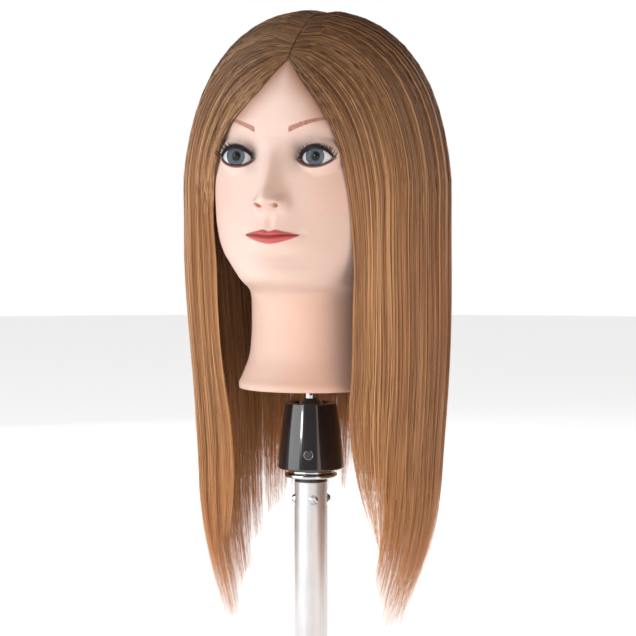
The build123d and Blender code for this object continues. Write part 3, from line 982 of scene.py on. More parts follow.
    def turn_in_lids(self, piece: Piece) -> None:
        """Gives the eye openings their thickness by turning their edges in to the eyeballs.

        Args:
            piece: the skin.
        """
        work = bmesh.new()
        work.from_mesh(piece.data)
        low = (self.eye[2] - 20) * MM
        high = (self.eye[2] + 20) * MM
        edges = [e for e in work.edges if e.is_boundary and low < e.verts[0].co.z < high]
        for depth in (self.ball + 0.7, self.ball + 0.05, self.ball - 1.5):
            made = bmesh.ops.extrude_edge_only(work, edges=edges)["geom"]
            for vertex in (g for g in made if isinstance(g, bmesh.types.BMVert)):
                side = math.copysign(1.0, vertex.co.x)
                centre = np.array([side * self.eye[0], self.eye[1], self.eye[2]]) * MM
                out = np.array(vertex.co) - centre
                vertex.co = centre + out / np.linalg.norm(out) * depth * MM
            edges = [g for g in made if isinstance(g, bmesh.types.BMEdge) and g.is_boundary]
        for face in work.faces:
            face.smooth = True
        work.to_mesh(piece.data)
        work.free()


# ---------------------------------------------------------------- eyes and lashes


@dataclass
class Eye:
    """One set-in eye: the white, the printed iris in its dish, and the clear dome."""

    name: str
    side: int
    head: Head
    iris: float = 7.5
    dome_radius: float = 9.4
    segments: int = 96

    def lathe(self, name: str, profile: Rows, material: Material) -> Piece:
        """Turns a profile about the eye's forward axis.

        Args:
            name: the piece's name.
            profile: radius and distance forward of the ball's centre.
            material: the piece's material.

        Returns:
            The turned piece.
        """
        radius = np.array([p[0] for p in profile])[:, None]
        ahead = np.array([p[1] for p in profile])[:, None]
        angle = np.linspace(0, 2 * math.pi, self.segments, endpoint=False)[None, :]
        centre = self.head.eye * np.array([self.side, 1, 1])
        x = radius * np.cos(angle)
        z = radius * np.sin(angle)
        y = -ahead + 0 * angle
        points = np.stack([x, y, z], axis=-1).reshape(-1, 3) + centre
        faces = grid_faces(len(profile), self.segments, True)
        fields = {
            "ray": (radius / self.iris + 0 * angle).ravel(),
            "turn": (np.abs(angle - math.pi) / math.pi + 0 * radius).ravel(),
        }
        return make_piece(name, points, faces, material, fields)

    def build(self, white: Material, iris: Material, lens: Material) -> None:
        """Makes the three pieces of the eye.

        Args:
            white: the eyeball's material.
            iris: the iris's material.
            lens: the dome's material.
        """
        ball = self.head.ball
        dish = math.sqrt(ball**2 - self.iris**2)
        start = math.asin(self.iris / ball)
        arc = np.linspace(start, 1.9, 40)
        outside = [(ball * math.sin(a), ball * math.cos(a)) for a in arc]
        shell = [(self.iris - 0.05, dish - 1.6), (self.iris - 0.02, dish - 0.3)] + outside
        piece = self.lathe(f"eye_white_{self.name}", shell, white)
        finish_piece(piece, "head", (f"{self.name}_eyeball", f"{self.name}_eye_cup"))
        radii = np.linspace(0.05, self.iris, 22)
        print_dish = [(r, dish - 1.5 + 0.9 * (r / self.iris) ** 2) for r in radii[::-1]]
        piece = self.lathe(f"iris_disc_{self.name}", print_dish, iris)
        finish_piece(piece, "head", (f"{self.name}_iris",))
        curve = self.dome_radius
        rim = self.iris + 0.1
        sink = math.sqrt(curve**2 - rim**2)
        arc = np.linspace(0.004, math.asin(rim / curve), 22)
        dome = [(curve * math.sin(a), dish - sink + curve * math.cos(a)) for a in arc[::-1]]
        piece = self.lathe(f"cornea_dome_{self.name}", dome, lens)
        finish_piece(piece, "head", (f"{self.name}_cornea",))


@dataclass
class Lashes:
    """The strip of upper lashes, thick along the lid and spiky at its ends."""

    name: str
    side: int
    head: Head
    count: int = 110
    steps: int = 6

    def build(self, material: Material) -> None:
        """Makes the lash strip of one eye.

        Args:
            material: the lashes' material.
        """
        rng = np.random.default_rng(40 + self.side)
        head = self.head
        share = np.sort(rng.uniform(0.02, 1.03, self.count))
        side = head.opening_in + head.opening_wide * np.clip(share, 0, 1)
        _, _, upper, _ = head.lid_lines(side)
        flat = side - head.eye[0]
        up = upper + 0.15
        ahead = np.sqrt(np.maximum((head.ball + 1.1) ** 2 - flat**2 - up**2, 9.0))
        root = np.stack([side, head.eye[1] - ahead, up], axis=-1)
        fan = (share - 0.40) * 1.05 + rng.normal(0, 0.13, self.count)
        length = (4.6 + 2.8 * share + rng.normal(0, 0.8, self.count)).clip(2.2, 8.0)
        along = np.linspace(0, 1, self.steps)[None, :, None]
        aim = np.stack([np.sin(fan), -np.cos(fan) * 0.86, 0 * fan + 0.12], axis=-1)[:, None, :]
        lift = np.array([0.0, 0.0, 1.0])
        spine = root[:, None, :] + length[:, None, None] * (aim * along + lift * 0.55 * along**1.7)
        thick = 0.23 * (1 - along[..., 0]) ** 0.8 + 0.03
        ring = np.array([0.0, 2.1, 4.2])
        across = np.stack([np.cos(ring), 0 * ring, np.sin(ring)], axis=-1)
        points = spine[:, :, None, :] + thick[..., None, None] * across[None, None, :, :]
        points = points.reshape(-1, 3)
        one = grid_faces(self.steps, 3, True)
        faces = (one[None] + (np.arange(self.count) * self.steps * 3)[:, None, None]).reshape(-1, 4)
        strip, strip_faces = self.band(len(points))
        points = np.concatenate([points, strip])
        points[:, 0] *= self.side
        points[:, 2] += head.eye[2]
        faces = np.concatenate([faces, strip_faces])
        if self.side < 0:
            faces = faces[:, ::-1]
        piece = make_piece(f"lash_strip_{self.name}", points, faces, material)
        finish_piece(piece, "head", (f"{self.name}_lashes",))

    def band(self, start: int) -> tuple[np.ndarray, np.ndarray]:
        """The strip that the lashes are knotted on, along the upper lid.

        Args:
            start: the number of points before it.

        Returns:
            Its points and quads.
        """
        head = self.head
        share = np.linspace(0.01, 0.995, 60)
        side = head.opening_in + head.opening_wide * share
        _, _, upper, _ = head.lid_lines(side)
        flat = side - head.eye[0]
        ahead = np.sqrt(np.maximum((head.ball + 1.0) ** 2 - flat**2 - upper**2, 9.0))
        middle = np.stack([side, head.eye[1] - ahead, upper + 0.1], axis=-1)
        thick = (0.25 + 0.95 * np.sin(np.pi * share) ** 0.6)[:, None, None]
        ring = np.linspace(0, 2 * math.pi, 8, endpoint=False)
        across = np.stack([0 * ring, np.cos(ring) * 0.8, np.sin(ring)], axis=-1)
        points = (middle[:, None, :] + thick * 0.75 * across[None]).reshape(-1, 3)
        return points, grid_faces(60, 8, True) + start


# ---------------------------------------------------------------- hair


@dataclass
class HairSide:
    """The hair on one side of the parting: guides, an under-layer and the strands."""

    name: str
    side: int
    edge: Rows
    seed: int
    head: Head
    strands: int = 11500
    locks: int = 90
    parting_x: float = 8.0
    seam: float = 150.0
    samples_s: int = 97
    samples_t: int = 140
    # height, centre, half width, half depth of the hanging hair
    envelope: Rows = field(
        default_factory=lambda: [
            (40, 11.0, 72.0, 72.0),
            (66, 13.0, 78.5, 80.0),
            (95, 18.0, 87.5, 91.0),
            (133, 22.0, 95.0, 99.5),
            (190, 25.0, 98.5, 104.5),
            (250, 25.0, 102.5, 108.5),
            (335, 18.0, 105.5, 113.5),
            (404, 17.0, 105.5, 113.5),
        ]
    )
    # share of the rim's radius, height of the dome
    dome: Rows = field(
        default_factory=lambda: [
            (0.0, 535.0),
            (0.11, 534.3),
            (0.35, 528.5),
            (0.52, 518.5),
            (0.65, 506.5),
            (0.783, 487.5),
            (0.87, 468.5),
            (0.948, 440.0),
            (1.0, 404.0),
        ]
    )
    # angle from straight ahead, height of the tips
    tips: Rows = field(
        default_factory=lambda: [
            (40, 140.0),
            (52, 100.0),
            (64, 56.0),
            (78, 42.0),
            (92, 42.0),
            (102, 54.0),
            (114, 80.0),
            (134, 122.0),
            (156, 134.0),
            (181, 136.0),
        ]
    )

    def resample(self, line: np.ndarray) -> np.ndarray:
        """A smooth curve through points, read at even steps of its length.

        Args:
            line: the points that it passes.

        Returns:
            The even points.
        """
        chord = np.linalg.norm(np.diff(line, axis=0), axis=1) ** 0.7
        at = np.concatenate([[0.0], np.cumsum(chord)])
        fine = np.linspace(0, at[-1], 800)
        dense = self.catmull(at, line, fine)
        length = np.concatenate([[0.0], np.cumsum(np.linalg.norm(np.diff(dense, axis=0), axis=1))])
        even = np.linspace(0, length[-1], self.samples_t)
        return np.stack([np.interp(even, length, dense[:, k]) for k in range(3)], axis=-1)

    @staticmethod
    def catmull(at: np.ndarray, line: np.ndarray, where: np.ndarray) -> np.ndarray:
        """A curve through points with tangents from their neighbours.

        Args:
            at: the place of each point along the curve.
            line: the points, along their first axis.
            where: the places where the curve is read.

        Returns:
            The curve's points.
        """
        tangent = np.gradient(line, at, axis=0)
        i = np.clip(np.searchsorted(at, where, side="right") - 1, 0, len(at) - 2)
        shape = (...,) + (None,) * (line.ndim - 1)
        gap = (at[i + 1] - at[i])[shape]
        t = (where - at[i])[shape] / gap
        rise = line[i] * (1 + 2 * t) * (1 - t) ** 2 + line[i + 1] * t * t * (3 - 2 * t)
        return rise + gap * t * (1 - t) * (tangent[i] * (1 - t) - tangent[i + 1] * t)

    def guide(self, share: float, angle: float) -> np.ndarray:
        """One guide from the parting over the dome and down.

        Args:
            share: place from the face's edge, 0, to the middle of the back, 1.
            angle: where it crosses the dome's rim, in degrees from straight ahead.

        Returns:
            Its even points.
        """
        turn = math.radians(angle)
        root = np.array([self.parting_x + 0.5 * self.side, -74.0 + 116.0 * share**0.85])
        low = self.envelope[-1]
        rim = np.array([low[2] * math.sin(turn) * self.side, low[1] - low[3] * math.cos(turn)])
        line = []
        for part in (0.0, 0.10, 0.25, 0.42, 0.60, 0.76, 0.89):
            here = root * (1 - part) + rim * part
            radius = math.hypot(here[0] / low[2], (here[1] - low[1]) / low[3])
            height = float(through(self.dome, 1, np.array([radius]))[0])
            sink = 2.2 * max(0.0, 1 - part / 0.08)
            line.append((here[0], here[1], height - sink))
        tip = float(through(self.tips, 1, np.array([angle]))[0])
        for height in (404.0, 370.0, 335.0, 290.0, 250.0, 190.0, 133.0, 95.0, 70.0):
            if height < tip + 12:
                break
            line.append(self.hang(turn, height))
        line.append(self.hang(turn, tip))
        return self.resample(np.array(line))

    def hang(self, turn: float, height: float) -> tuple[float, float, float]:
        """A point of the hanging hair's outside.

        Args:
            turn: angle from straight ahead.
            height: its height.

        Returns:
            The point.
        """
        at = np.array([height])
        centre, wide, deep = (float(through(self.envelope, k, at)[0]) for k in (1, 2, 3))
        return wide * math.sin(turn) * self.side, centre - deep * math.cos(turn), height

    def surface(self) -> tuple[np.ndarray, np.ndarray]:
        """The outside of the hair as a dense grid, and its outward normals.

        Returns:
            Points and normals, by place round the head and along the strand.
        """
        shares = np.array([0.0, 0.10, 0.20, 0.35, 0.52, 0.70, 0.86, 1.0])
        angles = (0.0, 55.0, 66.0, 86.0, 108.0, 132.0, 156.0, 180.0)
        guides = [self.resample(np.array(self.edge, float))]
        guides += [self.guide(s, a) for s, a in zip(shares[1:], angles[1:])]
        fine = np.linspace(0, 1, self.samples_s)
        points = self.catmull(shares, np.array(guides), fine)
        points = self.clear_of_skin(points, 1.3 + 2.4 * ease(0.0, 0.14, fine)[:, None])
        down = np.gradient(points, axis=1)
        round_ = np.gradient(points, axis=0)
        normal = np.cross(down, round_) * self.side
        normal /= np.maximum(np.linalg.norm(normal, axis=2, keepdims=True), 1e-9)
        return points, normal

    def thickness(self, share: np.ndarray, along: np.ndarray) -> np.ndarray:
        """How thick the hair is, inwards from its outside."""
        stops = [(0.0, 0.5), (0.06, 2.5), (0.2, 7.0), (0.4, 12.0), (0.7, 15.0), (1.0, 9.0)]
        return through(stops, 1, along) * (0.25 + 0.75 * ease(0.0, 0.14, share))

    def read(self, grid: np.ndarray, share: np.ndarray, along: np.ndarray) -> np.ndarray:
        """Values of a grid between its points.

        Args:
            grid: values by place round the head and along the strand.
            share: places round the head, from 0 to 1.
            along: places along the strand, from 0 to 1.

        Returns:
            The values.
        """
        u = np.clip(share, 0, 1) * (self.samples_s - 1)
        v = np.clip(along, 0, 1) * (self.samples_t - 1)
        i = np.minimum(u.astype(int), self.samples_s - 2)
        j = np.minimum(v.astype(int), self.samples_t - 2)
        a = (u - i)[..., None]
        b = (v - j)[..., None]
        near = grid[i, j] * (1 - b) + grid[i, j + 1] * b
        far = grid[i + 1, j] * (1 - b) + grid[i + 1, j + 1] * b
        return near * (1 - a) + far * a

    def spines(self, rng: np.random.Generator, count: int, steps: int) -> tuple[np.ndarray, np.ndarray, dict]:
        """Draws strands as dense lines.

        Args:
            rng: the source of the draws.
            count: how many strands.
            steps: points along each.

        Returns:
            Points, normals, and the draws by name.
        """
        points, normals = self.surface()
        locks = self.locks
        lock_share = (np.arange(locks) + rng.uniform(-0.4, 0.4, locks)) / locks
        lock_long = np.abs(rng.normal(0.0, 0.05, locks))
        lock_tone = rng.uniform(0, 1, locks)
        lock_out = rng.normal(0.0, 1.0, locks)
        lock = rng.integers(0, locks, count)
        own = rng.normal(0, 0.012, count)
        ragged = 0.105 + 0.08 * (lock_share[lock] < 0.14)
        reach = 1.035 - lock_long[lock] - np.abs(rng.normal(0, 1, count)) * ragged
        reach = np.clip(reach, 0.40, 1.0)
        short = rng.uniform(0, 1, count) < 0.10
        reach = np.where(short, reach * rng.uniform(0.55, 0.95, count), reach)
        depth = rng.uniform(0, 1, count) ** 1.4
        along = np.linspace(0, 1, steps)[None, :] * reach[:, None]
        gather = 1 - 0.78 * ease(0.55, 1.0, along)
        waves = rng.uniform(2, 8, count)[:, None]
        phase = rng.uniform(0, 6.3, count)[:, None]
        wave = 0.0045 * np.sin(along * waves + phase)
        cross = rng.normal(0, 0.006, count)[:, None] * (along - 0.4)
        share = lock_share[lock][:, None] + own[:, None] * gather + wave * along + cross
        share = np.abs(share)
        share = 1 - np.abs(1 - share)
        place = self.read(points, share, along)
        out = self.read(normals, share, along)
        sink = depth[:, None] * self.thickness(share, along)
        sway = lock_out[lock][:, None] * 0.7 * ease(0.1, 0.6, along)
        sway = sway + rng.normal(0, 0.5, count)[:, None] * along
        place = self.clear_of_skin(place - out * (sink - np.minimum(sway, 1.2))[..., None], 1.1)
        stray = rng.uniform(0, 1, count) < 0.025
        drift = rng.normal(0, 6.0, (count, 3)) * stray[:, None]
        drift[:, 2] = 0
        place = place + drift[:, None, :] * (ease(0.55, 1.0, along) * 0.6)[..., None]
        tone = lock_tone[lock] * 0.30 + rng.uniform(0, 1, count) * 0.70
        return place, out, {"share": share, "along": along, "tone": tone}

    def clear_of_skin(self, place: np.ndarray, gap: "float | np.ndarray") -> np.ndarray:
        """Moves points out of the head, away from its axis.

        Args:
            place: the points.
            gap: how far outside the skin they end.

        Returns:
            The moved points.
        """
        head = self.head
        up = np.clip(place[..., 2] - head.eye[2], head.levels[0][0], head.levels[-1][0])
        side = place[..., 0]
        ahead = head.centre_y - place[..., 1]
        skin_x, skin_y, _ = head.section(np.arctan2(side, ahead), up)
        skin = np.hypot(skin_x, skin_y - head.centre_y) + gap
        own = np.maximum(np.hypot(side, ahead), 1e-6)
        push = np.where(place[..., 2] > head.eye[2] + head.levels[0][0], np.maximum(skin / own, 1.0), 1.0)
        push = np.where(place[..., 2] < head.eye[2] + head.levels[-2][0], push, 1.0)
        moved = place.copy()
        moved[..., 0] = side * push
        moved[..., 1] = head.centre_y - ahead * push
        return moved

    def cut(
        self, place: np.ndarray, values: np.ndarray, low: bool, steps: int
    ) -> tuple[np.ndarray, np.ndarray]:
        """The part of each strand on one side of the seam's height.

        Args:
            place: the strands' points.
            values: more values per point.
            low: whether the part below is wanted.
            steps: the points wanted along each.

        Returns:
            The points and values of the parts, for the strands that have one.
        """
        count, dense = place.shape[:2]
        below = place[:, :, 2] < self.seam
        first = np.where(below.any(axis=1), below.argmax(axis=1), dense - 1)
        before = np.maximum(first - 1, 0)
        rows = np.arange(count)
        high_z = place[rows, before, 2]
        low_z = place[rows, first, 2]
        part = np.clip((high_z - self.seam) / np.maximum(high_z - low_z, 1e-6), 0, 1)
        cross = np.where(below.any(axis=1), before + part, dense - 1.0)
        if low:
            keep = cross < dense - 2
            start = cross[keep]
            end = np.full(keep.sum(), dense - 1.0)
        else:
            keep = np.ones(count, bool)
            start = np.zeros(count)
            end = cross
        at = start[:, None] + (end - start)[:, None] * np.linspace(0, 1, steps)[None, :]
        i = np.minimum(at.astype(int), dense - 2)
        t = (at - i)[..., None]
        line = np.arange(keep.sum())[:, None]
        both = np.concatenate([place, values], axis=2)[keep]
        both = both[line, i] * (1 - t) + both[line, i + 1] * t
        return both[..., :3], both[..., 3:]

    @staticmethod
    def ribbons(
        name: str, place: np.ndarray, values: np.ndarray, rng: np.random.Generator, material: Material
    ) -> Piece:
        """Makes strands as thin tapered ribbons.

        Args:
            name: the piece's name.
            place: the strands' points.
            values: normal, share, along, reach, tone and width per point.
            rng: the source of the twists.
            material: the hair's material.

        Returns:
            The piece.
        """
        count, steps = place.shape[:2]
        normal, share, along, left, tone, width = np.split(values, [3, 4, 5, 6, 7], axis=2)
        down = np.gradient(place, axis=1)
        down /= np.maximum(np.linalg.norm(down, axis=2, keepdims=True), 1e-9)
        across = np.cross(down, normal)
        across /= np.maximum(np.linalg.norm(across, axis=2, keepdims=True), 1e-9)
        lift = np.cross(across, down)
        twist = rng.normal(0, 0.45, (count, 1, 1))
        flat = across * np.cos(twist) + lift * np.sin(twist)
        taper = (0.55 + 0.45 * ease(0.0, 0.12, along)) * (1 - 0.86 * ease(0.34, 0.0, left))
        half = flat * width * taper / 2
        points = np.stack([place - half, place + half], axis=2).reshape(-1, 3)
        one = grid_faces(steps, 2, False)
        faces = (one[None] + (np.arange(count) * steps * 2)[:, None, None]).reshape(-1, 4)
        double = {
            "along": np.repeat(along, 2, axis=2),
            "across": np.concatenate([share, share + 0.0015], axis=2),
            "strand": np.repeat(tone, 2, axis=2),
        }
        return make_piece(name, points, faces, material, double)

    def build(self, strand: Material, under: Material) -> list[tuple[Piece, bool]]:
        """Makes this side's pieces.

        Args:
            strand: the strands' material.
            under: the under-layer's material.

        Returns:
            Each piece, and whether it is below the seam.
        """
        rng = np.random.default_rng(self.seed)
        made = []
        place, out, draws = self.spines(rng, self.strands, 60)
        left = draws["along"][:, -1:] - draws["along"]
        width = rng.uniform(0.24, 0.72, (self.strands, 1)) + 0 * left
        tone = draws["tone"][:, None] + 0 * left
        extra = np.stack([draws["share"], draws["along"], left, tone, width], axis=2)
        values = np.concatenate([out, extra], axis=2)
        near = draws["share"][:, 0] < 0.34
        far = draws["share"][:, 0] >= 0.67
        for part, mask in (("front", near), ("middle", ~near & ~far), ("back", far)):
            for low, steps in ((False, 24), (True, 9)):
                line, more = self.cut(place[mask], values[mask], low, steps)
                where = "tips" if low else "length"
                name = f"hair_{where}_{self.name}_{part}"
                made.append((self.ribbons(name, line, more, rng, strand), low))
        made.append((self.under_layer(rng, under), False))
        return made

    def under_layer(self, rng: np.random.Generator, material: Material) -> Piece:
        """The layer under the strands, darkened in its material as painted shade of the hair's depth, ragged
        along its lower edge.

        Args:
            rng: the source of the ragged edge.
            material: its material.

        Returns:
            The piece.
        """
        points, normals = self.surface()
        wide, tall = 220, 70
        share = np.linspace(0.012, 1, wide)[:, None] + np.zeros((1, tall))
        end = 0.70 + 0.05 * np.sin(np.linspace(0, 40, wide)) + rng.uniform(-0.05, 0.05, wide)
        along = np.linspace(0.004, 1, tall)[None, :] * end[:, None]
        place = self.read(points, share, along)
        inward = self.read(normals, share, along) * (0.5 + self.thickness(share, along) * 0.72)[..., None]
        place = self.clear_of_skin(place - inward, 0.8)
        place[..., 2] = np.maximum(place[..., 2], self.seam)
        fields = {"along": along, "across": share, "strand": 0 * share + 0.4}
        faces = grid_faces(wide, tall, False)
        return make_piece(f"hair_under_{self.name}", place.reshape(-1, 3), faces, material, fields)


@dataclass
class Hair:
    """All the hair: two sides, and the line of scalp in the parting."""

    head: Head
    jaw_drop: float = 78.0
    loose_end: float = 60.0

    def sides(self) -> list[HairSide]:
        """The two sides, each with the line of its edge round the face.

        Returns:
            The left and the right side.
        """
        return [
            HairSide("left", 1, EDGE_LEFT, 11, self.head),
            HairSide("right", -1, EDGE_RIGHT, 23, self.head),
        ]

    def scalp(self, material: Material) -> None:
        """The strip of scalp that shows in the parting.

        Args:
            material: the painted skin.
        """
        side = self.sides()[0]
        shares = np.linspace(0.0, 0.98, 90)
        y = -76.0 + 118.0 * shares**0.85
        low = side.envelope[-1]
        radius = np.hypot(side.parting_x / low[2], (y - low[1]) / low[3])
        z = through(side.dome, 1, radius) - 2.6
        across = np.array([-1.6, -0.6, 0.0, 0.6, 1.6])
        drop = np.array([1.2, 0.15, 0.0, 0.15, 1.2])
        x = side.parting_x + across[None, :] + 0.25 * np.sin(y * 0.35)[:, None]
        points = np.stack([x, y[:, None] + 0 * x, z[:, None] - drop[None, :]], axis=-1).reshape(-1, 3)
        piece = make_piece("scalp_parting", points, grid_faces(90, 5, False)[:, ::-1], material)
        finish_piece(piece, "head")

    def build(self, strand: Material, under: Material, skin: Material) -> None:
        """Makes the hair in lengths and tips cut at the seam, hides the design's hair, and adds the parting's
        scalp.

        Args:
            strand: the strands' material.
            under: the under-layer's material.
            skin: the painted skin, for the parting.
        """
        nodes = {
            "left": ("crown_hair_left", "hair_length_left", "hair_length_back"),
            "right": ("crown_hair_right", "hair_length_right"),
        }
        tips = {"left": ("hair_tips_left", "hair_tips_back"), "right": ("hair_tips_right",)}
        for side in self.sides():
            seam = side.seam * MM
            for piece, low in side.build(strand, under):
                if low:
                    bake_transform(piece)
                else:
                    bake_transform(piece)
                if piece.name.endswith("front"):
                    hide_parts(*(tips if low else nodes)[side.name])
                log.info("%s blends: %d faces", piece.name, len(piece.data.polygons))
        self.scalp(skin)


# ---------------------------------------------------------------- the holder


@dataclass
class Holder:
    """The column, its rings and screws, the release sleeve and the ball: shapes from the design."""

    wire: float = 0.9
    turns: float = 5.5
    pull: float = 6.15
    # the size of the bright ring that stands as a painted highlight round the key screw
    highlight_ring_gap: float = 0.35
    highlight_ring_half: float = 0.24
    highlight_ring_sink: float = 1.15
    sleeve_slope: float = 0.105

    def finishes(self) -> dict[str, Finish]:
        """The finish of each design node.

        Returns:
            The finishes by node.
        """
        turned = Grain.TURNED
        steel = Finish(
            "turned_steel", (0.42, 0.42, 0.43), (0.60, 0.60, 0.61), (0.22, 0.34), 1.0, grain=turned
        )
        chrome = Finish(
            "polished_chrome", (0.60, 0.59, 0.60), (0.72, 0.71, 0.72), (0.08, 0.15), 1.0, grain=turned
        )
        tube = Finish(
            "drawn_aluminium", (0.66, 0.66, 0.67), (0.76, 0.76, 0.77), (0.30, 0.42), 0.6, grain=Grain.DRAWN
        )
        gloss = Finish(
            "black_gloss", (0.010, 0.008, 0.010), (0.020, 0.016, 0.019), (0.10, 0.18), coat=0.7, depth=0.004
        )
        collar = Finish(
            "collar_black", (0.018, 0.016, 0.017), (0.035, 0.032, 0.033), (0.22, 0.34), depth=0.006
        )
        ball = Finish(
            "ball_black", (0.012, 0.012, 0.013), (0.02, 0.02, 0.021), (0.10, 0.16), coat=0.6, depth=0.003
        )
        key = Finish("key_black", (0.012, 0.010, 0.012), (0.03, 0.026, 0.028), (0.14, 0.24), coat=0.3)
        return {
            "column_tube": tube,
            "column_screws": Finish("screw_steel", (0.52, 0.52, 0.53), (0.72, 0.72, 0.73), (0.14, 0.26), 1.0),
            "jaw_post": steel,
            "disc_spring": steel,
            "release_spring": Finish("spring_wire", (0.30, 0.30, 0.31), (0.5, 0.5, 0.5), (0.2, 0.3), 1.0),
            "sleeve_liner": steel,
            "collar_bush": collar,
            "flange_ring": chrome,
            "spring_seat": chrome,
            "release_sleeve": gloss,
            "sleeve_key_screw": key,
            "joint_ball": ball,
            "head_stud": chrome,
            "stud_cross_pin": Finish("pin_black", (0.02, 0.02, 0.021), (0.05, 0.05, 0.052), (0.3, 0.45), 1.0),
            "friction_pad": Finish("nylon", (0.74, 0.72, 0.66), (0.82, 0.80, 0.75), (0.40, 0.52)),
            "neck_socket": Finish("socket_plastic", (0.62, 0.58, 0.50), (0.72, 0.68, 0.60), (0.40, 0.52)),
            "socket_screws": Finish("socket_screw", (0.50, 0.50, 0.51), (0.66, 0.66, 0.67), (0.2, 0.3), 1.0),
        }

    def build(self) -> None:
        """Dresses the design's own pieces, one material for each finish."""
        made: dict[str, Material] = {}
        for node, finish in self.finishes().items():
            if finish.name not in made:
                made[finish.name] = finish.build()
            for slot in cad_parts[node].material_slots:
                slot.material = made[finish.name]
            log.info("%s dressed as %s", node, finish.name)
        self.highlight_ring()
        self.spring(made["spring_wire"])

    def highlight_ring(self) -> None:
        """A thin bright metal ring round the key screw in the sleeve: a painted highlight for the light on
        the edge of its hole.
        """
        low, high = (np.array(p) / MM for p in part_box("sleeve_key_screw"))
        middle = (low + high) / 2
        out = np.array([middle[0], middle[1], 0.0])
        out /= np.linalg.norm(out)
        across = np.array([-out[1], out[0], 0.0])
        upward = np.array([0.0, 0.0, 1.0])
        radius = (high[2] - low[2]) / 2 + self.highlight_ring_gap
        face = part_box("release_sleeve")[1][0] / MM - self.highlight_ring_sink
        around = np.linspace(0, 2 * math.pi, 72, endpoint=False)
        tube = np.linspace(0, 2 * math.pi, 8, endpoint=False)[:, None]
        ring = np.outer(np.cos(around), across) + np.outer(np.sin(around), upward)
        centre = out * face + upward * middle[2]
        lean = -self.sleeve_slope * np.sin(around)[:, None] * radius * out[None, :]
        spine = centre + ring * radius + lean
        around_wire = np.cos(tube) * ring[:, None, :] + np.sin(tube) * out
        points = spine[:, None, :] + self.highlight_ring_half * around_wire
        faces = grid_faces(len(around), len(tube), True)
        here = np.arange(len(tube))
        after = (here + 1) % len(tube)
        last = (len(around) - 1) * len(tube)
        wrap = np.stack([here + last, after + last, after, here], axis=-1)
        # bright metal for the painted highlight round the key screw
        material = Finish("key_ring_painted_highlight", (0.40, 0.38, 0.39), (0.62, 0.60, 0.61), (0.2, 0.3), 1.0).build()
        piece = make_piece("key_screw_highlight_ring", points.reshape(-1, 3), np.concatenate([faces, wrap]), material)
        finish_piece(piece, "sleeve")

    def spring(self, material: Material) -> None:
        """The coil that pushes the sleeve up.

        Args:
            material: the wire's material.
        """
        low, high = (np.array(p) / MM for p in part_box("release_spring"))
        radius = (high[1] - low[1]) / 2 - self.wire
        start = low[2] + self.wire
        length = high[2] - low[2] - 2 * self.wire
        turn = np.linspace(0, 2 * math.pi * self.turns, int(48 * self.turns))[:, None]
        tube = np.linspace(0, 2 * math.pi, 10, endpoint=False)[None, :]
        reach = radius + self.wire * np.cos(tube)
        height = start + length * turn / turn[-1] + self.wire * np.sin(tube)
        points = np.stack([reach * np.cos(turn), reach * np.sin(turn), height], axis=-1).reshape(-1, 3)
        faces = grid_faces(len(turn), 10, True).tolist()
        ends = [list(range(9, -1, -1)), list(range(len(points) - 10, len(points)))]
        piece = make_piece("spring_coil", points, faces + ends, material)
        finish_piece(piece, "column", ("release_spring",))
        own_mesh(piece)


# ---------------------------------------------------------------- the studio


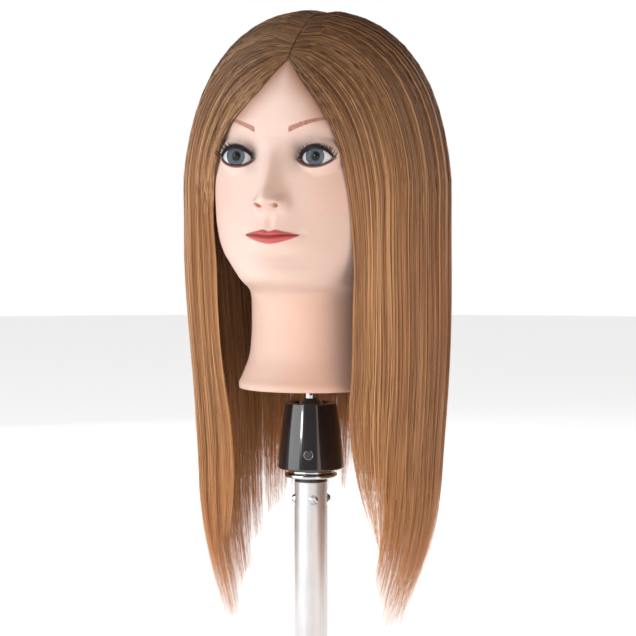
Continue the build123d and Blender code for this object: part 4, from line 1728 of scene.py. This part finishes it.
@dataclass
class Studio:
    """A seamless pale floor, soft lights and the camera."""

    azimuth: float = 20.0
    elevation: float = 3.5
    distance: float = 2000.0
    width: float = 508.8
    aim_right: float = 5.6
    aim_height: float = 289.0
    wall_radius: float = 4900.0
    lit_height: float = 0.36

    def build(self) -> None:
        """Makes the floor, the lights and the camera."""
        self.floor()
        world = bpy.data.worlds.new("studio_world")
        world.use_nodes = True
        background = world.node_tree.nodes["Background"]
        background.inputs["Color"].default_value = (1.0, 1.0, 1.0, 1.0)
        background.inputs["Strength"].default_value = 0.26
        bpy.context.scene.world = world
        bpy.context.scene.view_settings.view_transform = "Standard"
        self.light("key", (-1.45, -1.5, 0.95), (1.9, 1.8), 29.0)
        self.light("front", (-0.60, -1.9, 0.52), (0.20, 0.20), 4.6)
        self.light("fill", (1.9, -1.0, 0.50), (1.5, 1.6), 12.5, (1.0, 0.66, 0.43))
        self.light("back_left", (-1.2, 1.2, 0.9), (0.8, 1.2), 9.0)
        self.light("back_right", (1.2, 1.3, 0.9), (0.8, 1.2), 9.0)
        self.camera()

    def floor(self) -> None:
        """A pale floor, and a bright wall all round that only the camera sees."""
        pale = (0.90, 0.90, 0.90)
        paper = Finish("pale_paper", pale, (0.93, 0.93, 0.93), (0.85, 0.95), marks=60.0, depth=0.0, glow=0.60)
        radius = np.array([1.0, 300.0, 800.0, 1600.0, 3000.0, 5000.0])
        floor = self.turned("floor", radius, 0 * radius - 1.0, paper.build())
        bright = Shader("bright_wall")
        bright.set(Base_Color=(0.0, 0.0, 0.0), Emission_Color=WHITE, Emission_Strength=0.97)
        slope = np.linspace(-0.25, 0.5, 24) * math.pi
        across = self.wall_radius * np.cos(slope) + 1
        wall = self.turned("wall", across, self.wall_radius * np.sin(slope), bright.material)
        wall.visible_diffuse = False
        wall.visible_glossy = False
        wall.visible_shadow = False

    @staticmethod
    def turned(name: str, radius: np.ndarray, height: np.ndarray, material: Material) -> Piece:
        """A surface turned about the column's axis.

        Args:
            name: its name.
            radius: the profile's radii.
            height: the profile's heights.
            material: its material.

        Returns:
            The object.
        """
        angle = np.linspace(0, 2 * math.pi, 96, endpoint=False)
        flat = [np.outer(radius, np.cos(angle)), np.outer(radius, np.sin(angle)), height[:, None] + 0 * angle]
        points = np.stack(flat, axis=-1).reshape(-1, 3)
        log.info("%s in the studio", name)
        return make_piece(name, points, grid_faces(len(radius), len(angle), True), material)

    def light(
        self,
        name: str,
        place: tuple[float, float, float],
        size: tuple[float, float],
        power: float,
        colour: Colour = WHITE,
    ) -> None:
        """Adds one rectangular soft light that faces the head.

        Args:
            name: its name.
            place: where it hangs, in metres.
            size: its width and height in metres.
            power: its power in watts.
            colour: its colour.
        """
        lamp = bpy.data.lights.new(name, "AREA")
        lamp.shape = "RECTANGLE"
        lamp.size, lamp.size_y = size
        lamp.energy = power
        lamp.color = colour
        made = bpy.data.objects.new(name, lamp)
        bpy.context.scene.collection.objects.link(made)
        made.location = place
        made.rotation_euler = aim_angles(np.array([0.0, 0.0, self.lit_height]) - np.array(place))
        log.info("light %s: %.1f W", name, power)

    def camera(self) -> None:
        """The camera, level with the mouth and a little to the head's left."""
        a = math.radians(self.azimuth)
        e = math.radians(self.elevation)
        toward = np.array([math.sin(a) * math.cos(e), -math.cos(a) * math.cos(e), math.sin(e)])
        right = np.array([math.cos(a), math.sin(a), 0.0])
        aim = right * self.aim_right + np.array([0.0, 0.0, self.aim_height])
        lens = bpy.data.cameras.new("camera")
        lens.sensor_width = 36.0
        lens.lens = lens.sensor_width * self.distance / self.width
        made = bpy.data.objects.new("camera", lens)
        bpy.context.scene.collection.objects.link(made)
        made.location = (aim + toward * self.distance) * MM
        made.rotation_euler = aim_angles(-toward)
        bpy.context.scene.camera = made


def aim_angles(aim: np.ndarray) -> tuple[float, float, float]:
    """The rotation that points an object's -Z axis along a direction, with +Y up."""
    x, y, z = aim / np.linalg.norm(aim)
    return math.acos(-z), 0.0, math.atan2(-x, y)


def design_head() -> Head:
    """The head, with its eyes where the design has them.

    Returns:
        The head.
    """
    eye = np.abs(centre_of("left_eyeball"))
    low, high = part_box("left_eyeball")
    ball = (high[2] - low[2]) / 2 / MM
    return Head(eye=np.array([eye[0], high[1] / MM - ball, eye[2]]), ball=ball)


def main() -> None:
    """Builds the pieces in order."""
    logging.basicConfig(level=logging.INFO, format="%(message)s")
    head = design_head()
    skin = SkinFinish().build()
    finish_piece(head.build(skin), "head", ("head_shell",))
    white = EyeWhiteFinish().build()
    lens = LensFinish().build()
    iris = IrisFinish().build()
    lash = Finish("lash_bristle", (0.008, 0.006, 0.006), (0.022, 0.014, 0.013), (0.35, 0.5)).build()
    for name, side in (("left", 1), ("right", -1)):
        Eye(name, side, head).build(white, iris, lens)
        Lashes(name, side, head).build(lash)
    Hair(head).build(HairFinish().build(), HairFinish(under=True, roughness=0.6).build(), skin)
    Holder().build()
    Studio().build()


if __name__ == "__main__":
    main()
